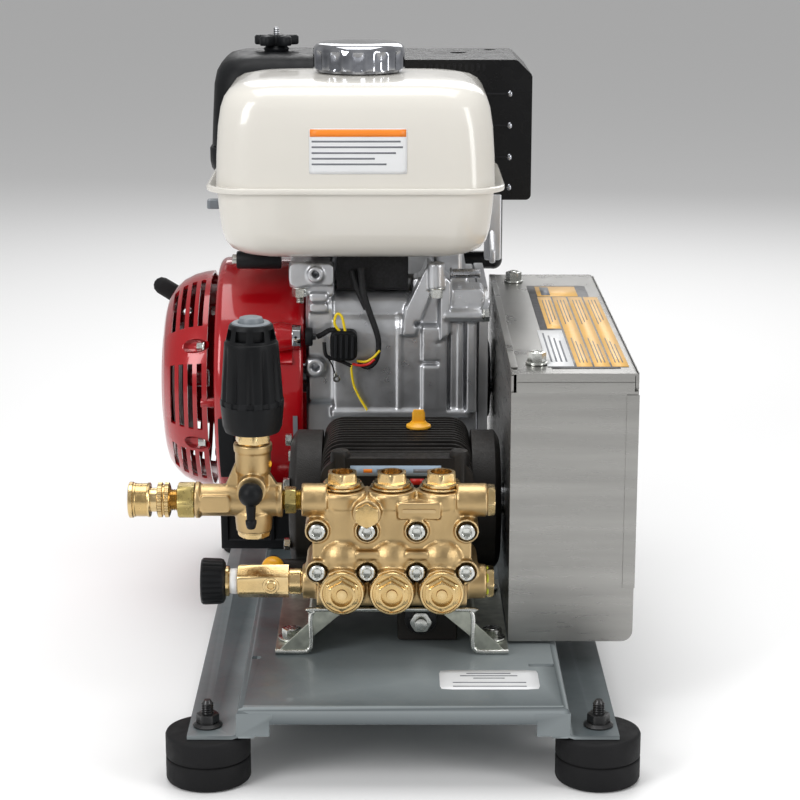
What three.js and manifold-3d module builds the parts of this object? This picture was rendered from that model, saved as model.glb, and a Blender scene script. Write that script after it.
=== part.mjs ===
// A belt-driven pressure washer power unit: a triplex plunger pump and a horizontal-shaft petrol
// engine side by side on a folded steel deck with four rubber feet.
// Millimetres, +Z up, +Y towards the engine, +X towards the belt guard.
// The dimensions below are laid out from the middle of the deck's front edge, at floor level. The
// finished group is then moved so that its origin is under the middle of its own bounding box.

import * as THREE from "three";
import { ConvexGeometry } from "three/addons/geometries/ConvexGeometry.js";
import { mergeVertices } from "three/addons/utils/BufferGeometryUtils.js";
import Module from "manifold-3d";

const wasm = await Module();
wasm.setup();

// ---------------------------------------------------------------- driving dimensions

const GAP = 0.3; // between pieces that touch
// Facets round a full turn: small rods and holes have few.
const facets = (radius) => (radius < 6 ? 8 : radius < 12.6 ? 12 : radius < 40 ? 16 : 24);

const DECK = { length: 610, halfWidth: 124, top: 64.5, railZ: 38.5, railReach: 161, sheet: 3 };
const FOOT = { radius: 32, x: 147, inset: 21 };
const BRACKET = { halfWidth: 65.8, reach: 92, top: 104, sheet: 4, y0: 111, y1: 285 };

const PUMP = { x: -8.5, y: 235, z: 156, pitch: 38.5, throw: 9, shaft: 12, plunger: 9 };
const CASE = { x0: -57, x1: 65, y0: -84.7, y1: 35, z0: -51.7, z1: 62, wall: 6, cover: 58 };
const MANIFOLD = { back: -85.3, towerY: -115, towerTop: 43, valveZ: -31, valveFront: -150, bore: 19 };
const PORT = { left: -70, right: 74 };

const OUTLET = { y: 110, z: 192 };
const INLET = { y: 115, z: 124 };
const UNLOADER = { x: -115.7, radius: 14.6, left: -161, right: -93, bottom: -29, top: 46 };
const BYPASS_Z = 14;

const ENGINE = { y: 488, z: 200, shaft: 14, left: -86, right: 69, front: -85, rear: 75 };
const BLOCK = { bottom: -135.2, flangeTop: -127, top: 100, wall: 6 };
const SHROUD = { left: -168, radius: 114, mouth: 95, bottom: -92, rear: 150, wall: 2.5 };
const RECOIL = { left: -219, right: -174.5, radius: 101.5, wall: 2.5, ropeRadius: 50 };
const CYLINDER = { x: -10, y: 80, z: 20, tilt: 25, length: 125, half: 55, fins: 6 };
const TANK = { x: -40.3, y: -48, wall: 2.5 };
const CLEANER = { x0: -182, x1: -20, y0: 52, y1: 197, z0: 182, split: 210, z1: 295, wall: 3 };
const CARBURETOR = { x: -60, y: 91 };
const MUFFLER = { x0: -8, x1: 124, y0: 72, y1: 202, z0: 158, z1: 291, wall: 2.5 };

const GUARD = { x0: 84.4, x1: 183.7, y0: 134, y1: 552, z0: 67, z1: 287, sheet: 2 };
const DRIVE = { x: 120, pumpRadius: 76, engineRadius: 36, width: 26, belt: 6 };

// ---------------------------------------------------------------- solids from three.js shapes

// A closed geometry as a solid that can be joined and cut.
function solid(geometry) {
  const bare = new THREE.BufferGeometry();
  bare.setAttribute("position", geometry.getAttribute("position"));
  bare.setIndex(geometry.index);
  const merged = mergeVertices(bare, 1e-4);
  return new wasm.Manifold(
    new wasm.Mesh({
      numProp: 3,
      vertProperties: merged.attributes.position.array,
      triVerts: new Uint32Array(merged.index.array),
    }),
  );
}

// Turns what was built along +Y to the named axis, and moves it sideways to its centre line.
// The two numbers of a centre are the other two coordinates, in X, Y, Z order.
function along(axis, geometry, [a, b]) {
  if (axis === "x") return geometry.rotateZ(-Math.PI / 2).translate(0, a, b);
  if (axis === "z") return geometry.rotateX(Math.PI / 2).translate(a, b, 0);
  return geometry.translate(a, 0, b);
}

function block(x0, x1, y0, y1, z0, z1) {
  const box = new THREE.BoxGeometry(x1 - x0, y1 - y0, z1 - z0);
  return solid(box.translate((x0 + x1) / 2, (y0 + y1) / 2, (z0 + z1) / 2));
}

function rod(axis, from, to, radius, centre = [0, 0], sides = facets(radius)) {
  const cylinder = new THREE.CylinderGeometry(radius, radius, to - from, sides);
  return solid(along(axis, cylinder.translate(0, (from + to) / 2, 0), centre));
}

// A hexagon by its width across the flats, with a flat side to the front.
function hex(axis, from, to, acrossFlats, centre = [0, 0]) {
  const radius = acrossFlats / Math.sqrt(3);
  const prism = new THREE.CylinderGeometry(radius, radius, to - from, 6);
  prism.rotateY(axis === "y" ? 0 : Math.PI / 6);
  return solid(along(axis, prism.translate(0, (from + to) / 2, 0), centre));
}

// A profile of [radius, distance along the axis] turned round the axis.
function turned(axis, profile) {
  const points = profile.map(([radius, height]) => new THREE.Vector2(radius, height));
  const sides = facets(Math.max(...profile.map(([radius]) => radius)));
  return solid(along(axis, new THREE.LatheGeometry(points, sides), [0, 0]));
}

// An outline in the plane across the axis, drawn in X, Y, Z order, and given a thickness.
function plate(axis, outline, from, to, curveSegments = 6) {
  const options = { depth: to - from, bevelEnabled: false, curveSegments };
  const slab = new THREE.ExtrudeGeometry(outline, options);
  if (axis === "y") return solid(slab.rotateX(Math.PI / 2).translate(0, to, 0));
  if (axis === "z") return solid(slab.translate(0, 0, from));
  return solid(slab.rotateX(Math.PI / 2).rotateZ(Math.PI / 2).translate(from, 0, 0));
}

function polygon(corners) {
  return new THREE.Shape(corners.map(([a, b]) => new THREE.Vector2(a, b)));
}

// A rectangle whose corners are rounded: lower left, lower right, upper right, upper left.
function roundedRect(a0, a1, b0, b1, [lowLeft, lowRight, highRight, highLeft]) {
  const shape = new THREE.Shape();
  const quarter = Math.PI / 2;
  shape.absarc(a1 - lowRight, b0 + lowRight, lowRight, -quarter, 0, false);
  shape.absarc(a1 - highRight, b1 - highRight, highRight, 0, quarter, false);
  shape.absarc(a0 + highLeft, b1 - highLeft, highLeft, quarter, 2 * quarter, false);
  shape.absarc(a0 + lowLeft, b0 + lowLeft, lowLeft, 2 * quarter, 3 * quarter, false);
  return shape;
}

// A folded strip of sheet: its centre line rounds each inner corner, and it is offset both ways.
function foldedStrip(corners, sheet, bend) {
  const points = corners.map(([a, b]) => new THREE.Vector2(a, b));
  const line = [points[0]];
  for (let i = 1; i < points.length - 1; i++) {
    const back = points[i - 1].clone().sub(points[i]).setLength(bend).add(points[i]);
    const ahead = points[i + 1].clone().sub(points[i]).setLength(bend).add(points[i]);
    line.push(...new THREE.QuadraticBezierCurve(back, points[i], ahead).getPoints(2));
  }
  line.push(points.at(-1));
  const offset = (side) =>
    line.map((point, i) => {
      const before = line[Math.max(i - 1, 0)];
      const after = line[Math.min(i + 1, line.length - 1)];
      const run = after.clone().sub(before).setLength((side * sheet) / 2);
      return new THREE.Vector2(point.x - run.y, point.y + run.x);
    });
  return new THREE.Shape([...offset(1), ...offset(-1).reverse()]);
}

// A tube of the given radius along a smooth curve through the points.
function tube(points, radius, steps, sides) {
  const curve = new THREE.CatmullRomCurve3(points.map((p) => new THREE.Vector3(...p)));
  const section = new THREE.Shape().absarc(0, 0, radius, 0, 2 * Math.PI, false);
  const options = { extrudePath: curve, steps, curveSegments: sides / 2 };
  return solid(new THREE.ExtrudeGeometry(section, options));
}

// The convex solid between level rounded rectangles, each { z, x0, x1, y0, y1, corner }.
function loft(sections) {
  const points = sections.flatMap(({ z, x0, x1, y0, y1, corner }) =>
    roundedRect(x0, x1, y0, y1, [corner, corner, corner, corner])
      .getPoints(1)
      .map(({ x, y }) => new THREE.Vector3(x, y, z)),
  );
  return solid(new ConvexGeometry(points));
}

const inset = (section, wall, z = section.z) => ({
  z,
  x0: section.x0 + wall,
  x1: section.x1 - wall,
  y0: section.y0 + wall,
  y1: section.y1 - wall,
  corner: Math.max(section.corner - wall, 2),
});

// ---------------------------------------------------------------- finishes and placing

const FINISH = {
  deckPaint: { color: 0x5a6668, roughness: 0.35, metalness: 0.2 },
  rubber: { color: 0x151515, roughness: 0.85, metalness: 0 },
  zinc: { color: 0xa9aaa0, roughness: 0.4, metalness: 0.9 },
  forgedBrass: { color: 0xb09160, roughness: 0.45, metalness: 0.9 },
  brightBrass: { color: 0xc2a25c, roughness: 0.25, metalness: 1 },
  pumpCast: { color: 0x2a2826, roughness: 0.5, metalness: 0.4 },
  engineCast: { color: 0x8e9092, roughness: 0.5, metalness: 0.8 },
  steel: { color: 0x8f9295, roughness: 0.35, metalness: 1 },
  ceramic: { color: 0xe8e4da, roughness: 0.2, metalness: 0 },
  yellowPlastic: { color: 0xf0a81c, roughness: 0.4, metalness: 0 },
  blackPlastic: { color: 0x1b1c1e, roughness: 0.5, metalness: 0 },
  redPaint: { color: 0xb3141f, roughness: 0.15, metalness: 0 },
  creamPaint: { color: 0xe8e6e0, roughness: 0.15, metalness: 0 },
  blackPaint: { color: 0x101011, roughness: 0.25, metalness: 0.1 },
  chrome: { color: 0xd8dadc, roughness: 0.06, metalness: 1 },
  stainless: { color: 0xb9b9b7, roughness: 0.3, metalness: 1 },
  greyPlastic: { color: 0x7e8488, roughness: 0.5, metalness: 0 },
};

// Adds a solid to a group as a named mesh with its own material.
function piece(group, name, shape, finish, position = [0, 0, 0]) {
  const { vertProperties, triVerts } = shape.getMesh();
  const geometry = new THREE.BufferGeometry();
  geometry.setAttribute("position", new THREE.BufferAttribute(vertProperties, 3));
  geometry.setIndex(new THREE.BufferAttribute(triVerts, 1));
  geometry.computeVertexNormals();
  const mesh = new THREE.Mesh(geometry, new THREE.MeshStandardMaterial(FINISH[finish]));
  mesh.name = name;
  mesh.position.set(...position);
  group.add(mesh);
}

function group(parent, x, y, z) {
  const made = new THREE.Group();
  made.position.set(x, y, z);
  parent.add(made);
  return made;
}

const unit = new THREE.Group();

// ---------------------------------------------------------------- deck, feet and pump bracket

function deck() {
  const web = DECK.halfWidth - DECK.sheet / 2;
  const rail = DECK.railZ + DECK.sheet / 2;
  const top = DECK.top - DECK.sheet / 2;
  const section = [
    [DECK.railReach, rail],
    [web, rail],
    [web, top],
    [-web, top],
    [-web, rail],
    [-DECK.railReach, rail],
  ];
  let sheet = plate("y", foldedStrip(section, DECK.sheet, 5), 0, DECK.length);

  // The lip is shallow in the middle and comes down to the rails at the corners.
  const lip = new THREE.Shape();
  const [side, corner, shallow] = [DECK.halfWidth - 1, 111, DECK.top - 14];
  lip.moveTo(-side, DECK.railZ + 1);
  lip.lineTo(-corner, DECK.railZ + 1);
  lip.quadraticCurveTo(-corner + 1, shallow, -corner + 15, shallow);
  lip.lineTo(corner - 15, shallow);
  lip.quadraticCurveTo(corner - 1, shallow, corner, DECK.railZ + 1);
  lip.lineTo(side, DECK.railZ + 1);
  lip.lineTo(side, top - 2);
  lip.lineTo(-side, top - 2);
  for (const y of [0, DECK.length - DECK.sheet]) {
    sheet = sheet.add(plate("y", lip, y, y + DECK.sheet, 3));
    sheet = sheet.add(block(-side + 4, side - 4, y, y + DECK.sheet, top - 3, DECK.top));
  }

  // A hole for each foot's stud, and the deck's own slots and drain holes.
  for (const x of [-FOOT.x, FOOT.x]) {
    for (const y of [FOOT.inset, DECK.length - FOOT.inset]) {
      sheet = sheet.subtract(rod("z", 30, 50, 5.5, [x, y]));
    }
  }
  sheet = sheet.subtract(rod("z", 55, 70, 4, [-115, 104]));
  sheet = sheet.subtract(block(98, 118, 84, 90, 55, 70));
  return sheet;
}

// A rubber buffer in two stacked discs with a groove between them.
function foot() {
  const height = DECK.railZ - GAP;
  const { radius } = FOOT;
  const seam = height / 2;
  return turned("z", [
    [0, 0],
    [radius, 0],
    [radius, seam - 1],
    [radius - 1.2, seam],
    [radius, seam + 1],
    [radius, height],
    [0, height],
  ]);
}

function pumpBracket() {
  const { halfWidth, reach, top, sheet, y0, y1 } = BRACKET;
  const low = DECK.top + GAP + sheet / 2;
  const leg = halfWidth - sheet / 2;
  const section = [
    [reach, low],
    [leg, low],
    [leg, top - sheet / 2],
    [-leg, top - sheet / 2],
    [-leg, low],
    [-reach, low],
  ];
  let sheetMetal = plate("y", foldedStrip(section, sheet, 7), y0, y1);
  for (const side of [-1, 1]) {
    const outer = polygon([
      [side * (reach - 2), low],
      [side * leg, low],
      [side * leg, top - 12],
    ]);
    const inner = polygon([
      [side * leg, top - sheet / 2],
      [side * (leg - 28), top - sheet / 2],
      [side * leg, top - 26],
    ]);
    sheetMetal = sheetMetal.add(plate("y", outer, y0, y0 + 2.5));
    sheetMetal = sheetMetal.add(plate("y", inner, y0, y0 + 2.5));
    for (const y of [y0 + 25, y1 - 25]) {
      const hole = rod("z", low - 5, low + 5, 4.5, [side * (halfWidth + 14), y]);
      sheetMetal = sheetMetal.subtract(hole);
    }
  }
  return sheetMetal;
}

const base = group(unit, 0, 0, 0);
piece(base, "base_deck", deck(), "deckPaint");
for (const [end, y] of [["front", FOOT.inset], ["rear", DECK.length - FOOT.inset]]) {
  piece(base, `foot_${end}_left`, foot(), "rubber", [-FOOT.x, y, 0]);
  piece(base, `foot_${end}_right`, foot(), "rubber", [FOOT.x, y, 0]);
}
piece(base, "pump_bracket", pumpBracket(), "zinc", [PUMP.x, 0, 0]);

// ---------------------------------------------------------------- pump, about its crank axis

const CYLINDERS = [-PUMP.pitch, 0, PUMP.pitch];
const SCREW_X = [-1.5 * PUMP.pitch, -PUMP.pitch / 2, PUMP.pitch / 2, 1.5 * PUMP.pitch];
const OUTLET_PORT = [OUTLET.y - PUMP.y, OUTLET.z - PUMP.z];
const INLET_PORT = [INLET.y - PUMP.y, INLET.z - PUMP.z];

function pumpCrankcase() {
  const { x0, x1, y0, y1, z0, z1, wall } = CASE;
  let shell = plate("y", roundedRect(x0, x1, z0, z1, [5, 5, 18, 18]), y0, y1, 3);
  const hollow = roundedRect(x0 + wall, x1 - wall, z0 + wall, z1 - wall, [3, 3, 12, 12]);
  shell = shell.subtract(plate("y", hollow, y0 + wall, y1 - wall, 3));
  shell = shell.subtract(rod("x", x0 - 1, x1 + 1, 32));
  for (const x of CYLINDERS) {
    shell = shell.subtract(rod("y", y0 - 1, y0 + wall + 1, PUMP.plunger + 0.8, [x, 0]));
  }
  return shell.subtract(rod("z", z1 - wall - 1, z1 + 1, 8.5, [22, -2]));
}

// The covers are round, with a flat at the bottom that clears the bracket.
function pumpCover(profile) {
  const reach = CASE.cover + 1;
  const flat = block(-2 * reach, 2 * reach, -reach, reach, -reach, CASE.z0);
  return turned("x", profile).subtract(flat);
}

function pumpSideCover() {
  const outer = CASE.x0 - 28.5;
  const inner = CASE.x0 - GAP;
  return pumpCover([
    [0, outer],
    [CASE.cover - 7, outer],
    [CASE.cover, outer + 7],
    [CASE.cover, inner],
    [28, inner],
    [28, outer + 18],
    [0, outer + 18],
  ]);
}

function pumpBearingCover() {
  const [inner, outer] = [CASE.x1 + GAP, CASE.x1 + 24];
  const ring = pumpCover([
    [0, inner],
    [CASE.cover, inner],
    [CASE.cover, outer - 6],
    [CASE.cover - 6, outer],
    [0, outer],
  ]);
  return ring.subtract(rod("x", inner - 1, outer + 1, PUMP.shaft + 0.8));
}

function pumpCrankshaft() {
  let shaft = rod("x", -64, DRIVE.x - PUMP.x + 18, PUMP.shaft);
  CYLINDERS.forEach((x, i) => {
    const angle = (i * 2 * Math.PI) / 3;
    const centre = [PUMP.throw * Math.cos(angle), PUMP.throw * Math.sin(angle)];
    shaft = shaft.add(rod("x", x - 10, x + 10, 17, centre));
  });
  return shaft;
}

function plunger() {
  const crosshead = rod("y", -60, -41, 11.5);
  return crosshead.add(rod("y", -112, -59, PUMP.plunger));
}

function pumpManifold() {
  const { back, towerY, towerTop, valveZ, valveFront, bore } = MANIFOLD;
  let body = block(-1.5 * PUMP.pitch, 1.5 * PUMP.pitch, -136, back, -47, 36);
  for (const x of CYLINDERS) {
    body = body.add(rod("z", -22, towerTop, bore, [x, towerY]));
    body = body.add(rod("y", valveFront, back, bore, [x, valveZ]));
  }
  for (const [from, to] of [[PORT.left, SCREW_X[0] + 2], [SCREW_X[3] - 2, PORT.right]]) {
    body = body.add(rod("x", from, to, 13, OUTLET_PORT));
  }
  body = body.add(rod("x", PORT.left, PORT.right, 15, INLET_PORT));
  for (const x of SCREW_X) {
    for (const z of [15, -18]) body = body.add(rod("y", -143, back, 8.5, [x, z], 8));
  }
  for (const x of SCREW_X.slice(1, 3)) body = body.add(block(x - 9, x + 9, -142, -134, -5, -1));
  body = body.add(rod("y", -145, -120, 10, [SCREW_X[1], 30]));

  for (const x of CYLINDERS) body = body.subtract(rod("y", -126, back + 1, PUMP.plunger + 0.6, [x, 0]));
  for (const port of [OUTLET_PORT, INLET_PORT]) {
    body = body.subtract(rod("x", PORT.left - 1, PORT.left + 13, 9.2, port));
    body = body.subtract(rod("x", PORT.right - 8, PORT.right + 1, 9.2, port));
  }
  return body;
}

function topCap() {
  const seat = MANIFOLD.towerTop + GAP;
  const cap = rod("z", seat, seat + 5, 17).add(hex("z", seat + 5, seat + 12.7, 22));
  return cap.subtract(rod("z", seat + 8, seat + 14, 8.2));
}

function frontCap() {
  const seat = MANIFOLD.valveFront - GAP;
  const cap = rod("y", seat - 6.5, seat, 17).add(hex("y", seat - 10.5, seat - 6, 23.5));
  return cap.subtract(rod("y", seat - 11, seat - 7.5, 8));
}

function portPlug() {
  return hex("x", GAP, 6, 22).add(rod("x", -7, GAP + 1, 8.6));
}

function frontPlug() {
  return hex("y", -5.5, -GAP, 17);
}

// A cap with a wide flange, a square grip, and a stem in its hole.
function pumpOilCap() {
  const cap = rod("z", GAP, 3.5, 10.4).add(block(-5, 5, -3, 3, 3, 15));
  return cap.add(rod("z", -8, 1, 7.8));
}

// A pulley about its own middle: hub, web and rim.
function pulley(radius, shaft, hubRadius) {
  const half = DRIVE.width / 2 + 2;
  const rim = Math.max(radius - 9, hubRadius + 1);
  const wheel = turned("x", [
    [0, -half],
    [hubRadius, -half],
    [hubRadius, -4],
    [rim, -4],
    [rim, -half],
    [radius, -half],
    [radius, half],
    [rim, half],
    [rim, 4],
    [hubRadius, 4],
    [hubRadius, half],
    [0, half],
  ]);
  return wheel.subtract(rod("x", -half - 1, half + 1, shaft + GAP));
}

const pump = group(unit, PUMP.x, PUMP.y, PUMP.z);
piece(pump, "pump_crankcase", pumpCrankcase(), "pumpCast");
piece(pump, "pump_side_cover", pumpSideCover(), "pumpCast");
piece(pump, "pump_bearing_cover", pumpBearingCover(), "pumpCast");
piece(pump, "pump_crankshaft", pumpCrankshaft(), "steel");
piece(pump, "pump_pulley", pulley(DRIVE.pumpRadius, PUMP.shaft, 24), "steel", [
  DRIVE.x - PUMP.x, 0, 0,
]);
piece(pump, "pump_oil_cap", pumpOilCap(), "yellowPlastic", [22, -2, CASE.z1]);
piece(pump, "pump_manifold", pumpManifold(), "forgedBrass");
["left", "middle", "right"].forEach((place, i) => {
  const x = CYLINDERS[i];
  piece(pump, `plunger_${place}`, plunger(), "ceramic", [x, 0, 0]);
  piece(pump, `valve_cap_top_${place}`, topCap(), "brightBrass", [x, MANIFOLD.towerY, 0]);
  piece(pump, `valve_cap_front_${place}`, frontCap(), "brightBrass", [x, 0, MANIFOLD.valveZ]);
});
piece(pump, "outlet_port_plug", portPlug(), "brightBrass", [PORT.right, ...OUTLET_PORT]);
piece(pump, "inlet_port_plug", portPlug(), "brightBrass", [PORT.right, ...INLET_PORT]);
piece(pump, "manifold_front_plug", frontPlug(), "brightBrass", [SCREW_X[1], -145, 30]);

// ---------------------------------------------------------------- outlet side, about the pipe axis

const PORT_END = PUMP.x + PORT.left;

function outletNipple() {
  const nut = hex("x", -91, -83, 19);
  return nut.add(rod("x", -100, PORT_END + 11, 7.6));
}

function unloaderBody() {
  const { x, radius, left, right, bottom, top } = UNLOADER;
  let body = rod("x", left, right, 12.5);
  body = body.add(rod("z", bottom + 5, top, radius, [x, 0]));
  body = body.add(hex("z", bottom, bottom + 6, 22, [x, 0]));
  body = body.add(rod("z", top - 7, top, radius + 1.2, [x, 0]));
  body = body.add(rod("z", top - 1, top + 14, 11, [x, 0]));
  const brace = polygon([
    [x - 25, 8],
    [x - 8, 0],
    [x - 12, 34],
  ]);
  body = body.add(plate("y", brace, -3, 3));
  body = body.add(rod("y", -24, 0, 10.5, [x, BYPASS_Z]));
  body = body.subtract(rod("y", -25, -14, 4.4, [x, BYPASS_Z]));
  body = body.subtract(rod("x", right - 9, right + 1, 8.2));
  return body.subtract(rod("x", left - 1, left + 8, 8.2));
}

// The pressure adjusting knob: a button on top, a narrow crown, and a skirt at the bottom.
function unloaderKnob() {
  const low = UNLOADER.top + 9;
  const outside = turned("z", [
    [0, low],
    [20.5, low],
    [23, low + 6],
    [24.6, low + 21],
    [24.6, low + 26],
    [21, low + 70],
    [17.5, low + 83],
    [16, low + 84.5],
    [9.5, low + 85],
    [9.5, low + 90],
    [0, low + 90],
  ]);
  return outside.subtract(rod("z", low - 1, low + 10, 12.5));
}

// A plastic elbow: a ball on its stem, and a short hose tail hanging from it.
function bypassElbow() {
  const ball = new THREE.SphereGeometry(9.5, 12, 8);
  let elbow = solid(ball.translate(0, -34, 0));
  elbow = elbow.add(rod("y", -35, -16, 4));
  elbow = elbow.add(rod("z", -27, 0, 3.4, [0, -34]));
  return elbow.add(rod("z", -23, -20, 4.4, [0, -34]));
}

function outletAdapter() {
  const nut = hex("x", -174.5, UNLOADER.left - GAP, 25);
  return nut.add(rod("x", -183, UNLOADER.left + 7, 7.6));
}

// The fixed half of the quick coupler, open at its free end.
function couplerBody() {
  let body = rod("x", -211, -180, 9.3).add(rod("x", -190, -180, 13.2));
  body = body.subtract(rod("x", -212, -192, 6.4));
  return body.subtract(rod("x", -184, -179, 8));
}

function couplerSleeve() {
  return rod("x", -212.3, -195.5, 14).subtract(rod("x", -213, -195, 9.8));
}

const outlet = group(unit, 0, OUTLET.y, OUTLET.z);
piece(outlet, "outlet_nipple", outletNipple(), "brightBrass");
piece(outlet, "unloader_body", unloaderBody(), "forgedBrass");
piece(outlet, "unloader_knob", unloaderKnob(), "blackPlastic", [UNLOADER.x, 0, 0]);
piece(outlet, "bypass_elbow", bypassElbow(), "blackPlastic", [UNLOADER.x, 0, BYPASS_Z]);
piece(outlet, "outlet_adapter", outletAdapter(), "brightBrass");
piece(outlet, "coupler_body", couplerBody(), "brightBrass");
piece(outlet, "coupler_sleeve", couplerSleeve(), "brightBrass");

// ---------------------------------------------------------------- inlet side, about the pipe axis

function inletNipple() {
  const collar = rod("x", -89, PORT_END - GAP, 10.5);
  return collar.add(rod("x", -97, PORT_END + 11, 8.5));
}

function inletFilterBody() {
  let body = hex("x", -129.5, -89.3, 24);
  body = body.add(rod("x", -146, -129, 9));
  body = body.add(rod("x", -146, -142.4, 11.5));
  return body.subtract(rod("x", -99, -89, 9));
}

// A swivelling hose nut: an open mouth to the left, and a wall with a hole behind the flange.
function hoseNut() {
  const nut = rod("x", -157.8, -139, 18.5).subtract(rod("x", -158, -142, 13));
  return nut.subtract(rod("x", -143, -138, 9.8));
}

const inlet = group(unit, 0, INLET.y, INLET.z);
piece(inlet, "inlet_nipple", inletNipple(), "brightBrass");
piece(inlet, "inlet_filter_body", inletFilterBody(), "brightBrass");
piece(inlet, "hose_nut", hoseNut(), "blackPlastic");

// ---------------------------------------------------------------- engine, about its crank axis

function engineOutline(margin) {
  const { front, rear } = ENGINE;
  const corners = [12, 12, 22, 22].map((radius) => radius - margin / 2);
  return roundedRect(front + margin, rear - margin, -128 + margin, BLOCK.top - margin, corners);
}

function engineCrankcase() {
  const { left, right, front, rear } = ENGINE;
  const { bottom, flangeTop, wall } = BLOCK;
  let casting = plate("x", engineOutline(0), left, right, 3);
  casting = casting.add(block(left, right, front - 8, rear + 12, bottom, flangeTop));
  for (const x of [-70, 42]) {
    casting = casting.add(block(x - 15, x + 15, front + 8, front + 45, 90, 133.7));
  }
  casting = casting.subtract(plate("x", engineOutline(wall), left + wall, right + 1, 3));
  casting = casting.subtract(rod("x", left - 1, left + wall + 1, 20));
  return casting;
}

function crankcaseSideCover() {
  const [inner, outer] = [ENGINE.right + GAP, ENGINE.right + 9];
  let cover = plate("x", engineOutline(0), inner, outer, 3);
  cover = cover.add(rod("x", outer - 1, outer + 5, 36));
  return cover.subtract(rod("x", inner - 1, outer + 6, ENGINE.shaft + 0.9));
}

const CYLINDER_TILT = THREE.MathUtils.degToRad(CYLINDER.tilt);

// The finned cylinder and its head, built level along +Y and tilted by its group.
function cylinderHead() {
  const { length, half, fins } = CYLINDER;
  let casting = block(-half + 14, half - 14, -20, length, -half + 14, half - 14);
  for (let i = 0; i < fins; i++) {
    const y = 20 + i * 9;
    casting = casting.add(block(-half, half, y, y + 3, -half, half));
  }
  casting = casting.add(block(-half + 6, half - 6, length - 42, length - 18, -half + 6, half - 6));
  casting = casting.subtract(rod("y", -21, length - 50, 34));
  // The crankcase's back face cuts it off plumb.
  const reach = 2 * length;
  const plumb = new THREE.BoxGeometry(reach, reach, reach);
  plumb.translate(0, ENGINE.rear + GAP - CYLINDER.y - reach / 2, 0).rotateX(-CYLINDER_TILT);
  return casting.subtract(solid(plumb));
}

function engineCrankshaft() {
  let shaft = rod("x", SHROUD.left + 2, -44, ENGINE.shaft);
  shaft = shaft.add(rod("x", 24, DRIVE.x + 18, ENGINE.shaft));
  for (const x of [-45, 13]) shaft = shaft.add(rod("x", x, x + 12, 44, [-8, 0]));
  return shaft.add(rod("x", -45, 25, 15, [30, 0]));
}

// The flywheel, with fan vanes standing on its outer face.
function flywheelFan() {
  let wheel = rod("x", -150, -125, 86);
  const vanes = 12;
  for (let i = 0; i < vanes; i++) {
    const angle = (i * 2 * Math.PI) / vanes;
    const vane = new THREE.BoxGeometry(15, 30, 3).translate(-156.5, 68, 0).rotateX(angle);
    wheel = wheel.add(solid(vane));
  }
  return wheel.subtract(rod("x", -151, -124, ENGINE.shaft + GAP));
}

// The cooling shroud's outline: round at the front, cut level below, squared off to the rear.
function shroudOutline(margin) {
  const radius = SHROUD.radius - margin;
  const low = SHROUD.bottom + margin;
  const start = Math.PI - Math.asin(low / radius);
  const shape = new THREE.Shape();
  shape.absarc(0, 0, radius, start, Math.PI / 3, true);
  shape.lineTo(SHROUD.rear - margin, 90 - margin);
  shape.lineTo(SHROUD.rear - margin, low);
  return shape;
}

const SWITCH = { x: -86, y: -103, z: 62 };

function fanShroud() {
  const { left, mouth, wall } = SHROUD;
  const right = ENGINE.left - GAP;
  let shell = plate("x", shroudOutline(0), left, right, 14);
  shell = shell.subtract(plate("x", shroudOutline(wall), left + wall, right + 1, 14));
  shell = shell.subtract(rod("x", left - 1, left + wall + 1, mouth));
  return shell.add(rod("x", SWITCH.x - 26, SWITCH.x, 11, [SWITCH.y, SWITCH.z]));
}

function engineSwitch() {
  const barrel = rod("x", GAP, 7, 8.5);
  return barrel.add(block(6, 10, -7, 7, -2, 2));
}

// A black moulding below the shroud, down to the deck, with a strip up its front left edge.
function shroudBase() {
  const top = SHROUD.bottom - GAP;
  const low = DECK.top + GAP - ENGINE.z;
  const wedge = polygon([
    [-110, top],
    [-104, low],
    [-90, low],
    [-90, top],
  ]);
  const body = plate("x", wedge, SHROUD.left + 4, ENGINE.left - 4);
  const front = -SHROUD.radius - 1;
  const [left, right] = [SHROUD.left + 4, SHROUD.left + 18];
  return body.add(block(left, right, front - 3, front, top - 4, -12))
    .add(block(left, right, front - 3, -100, top - 4, top));
}

// The starter's cover: a slotted cup with a bearing pin for the reel and three feet on its rim.
function recoilCover() {
  const { left, right, radius, wall } = RECOIL;
  const outer = [
    [0, left],
    [68, left],
    [88, left + 7],
    [97, left + 17],
    [radius, right],
    [0, right],
  ];
  const inner = [
    [0, left + wall],
    [67, left + wall],
    [86, left + 9],
    [94, left + 18],
    [radius - wall, right + 1],
    [0, right + 1],
  ];
  let cup = turned("x", outer).subtract(turned("x", inner));
  cup = cup.add(rod("x", left + 1, -181, 8));
  for (const degrees of [60, 180, 300]) {
    const angle = THREE.MathUtils.degToRad(degrees);
    const centre = [98 * Math.cos(angle), 98 * Math.sin(angle)];
    cup = cup.add(rod("x", right - 6, SHROUD.left - GAP, 4.5, centre));
  }
  // Rows of slots round the wall, with a plain stretch where the rope comes out.
  for (const degrees of [121, 177, 221, 306]) {
    for (let i = 0; i < 4; i++) {
      const slot = new THREE.BoxGeometry(4.5, 36, 48).translate(0, radius, 0);
      slot.rotateX(THREE.MathUtils.degToRad(degrees)).translate(right - 7 - 8.5 * i, 0, 0);
      cup = cup.subtract(solid(slot));
    }
  }
  return cup.subtract(rod("y", 60, 110, 4, [-206, RECOIL.ropeRadius]));
}

function recoilReel() {
  const reel = turned("x", [
    [0, -214],
    [56, -214],
    [56, -211],
    [46, -211],
    [46, -201],
    [56, -201],
    [56, -198],
    [0, -198],
  ]);
  return reel.subtract(rod("x", -215, -197, 8.6));
}

const HANDLE = { x: -206, y: 108, z: RECOIL.ropeRadius, radius: 8.5, span: 68, tilt: 32 };

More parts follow.
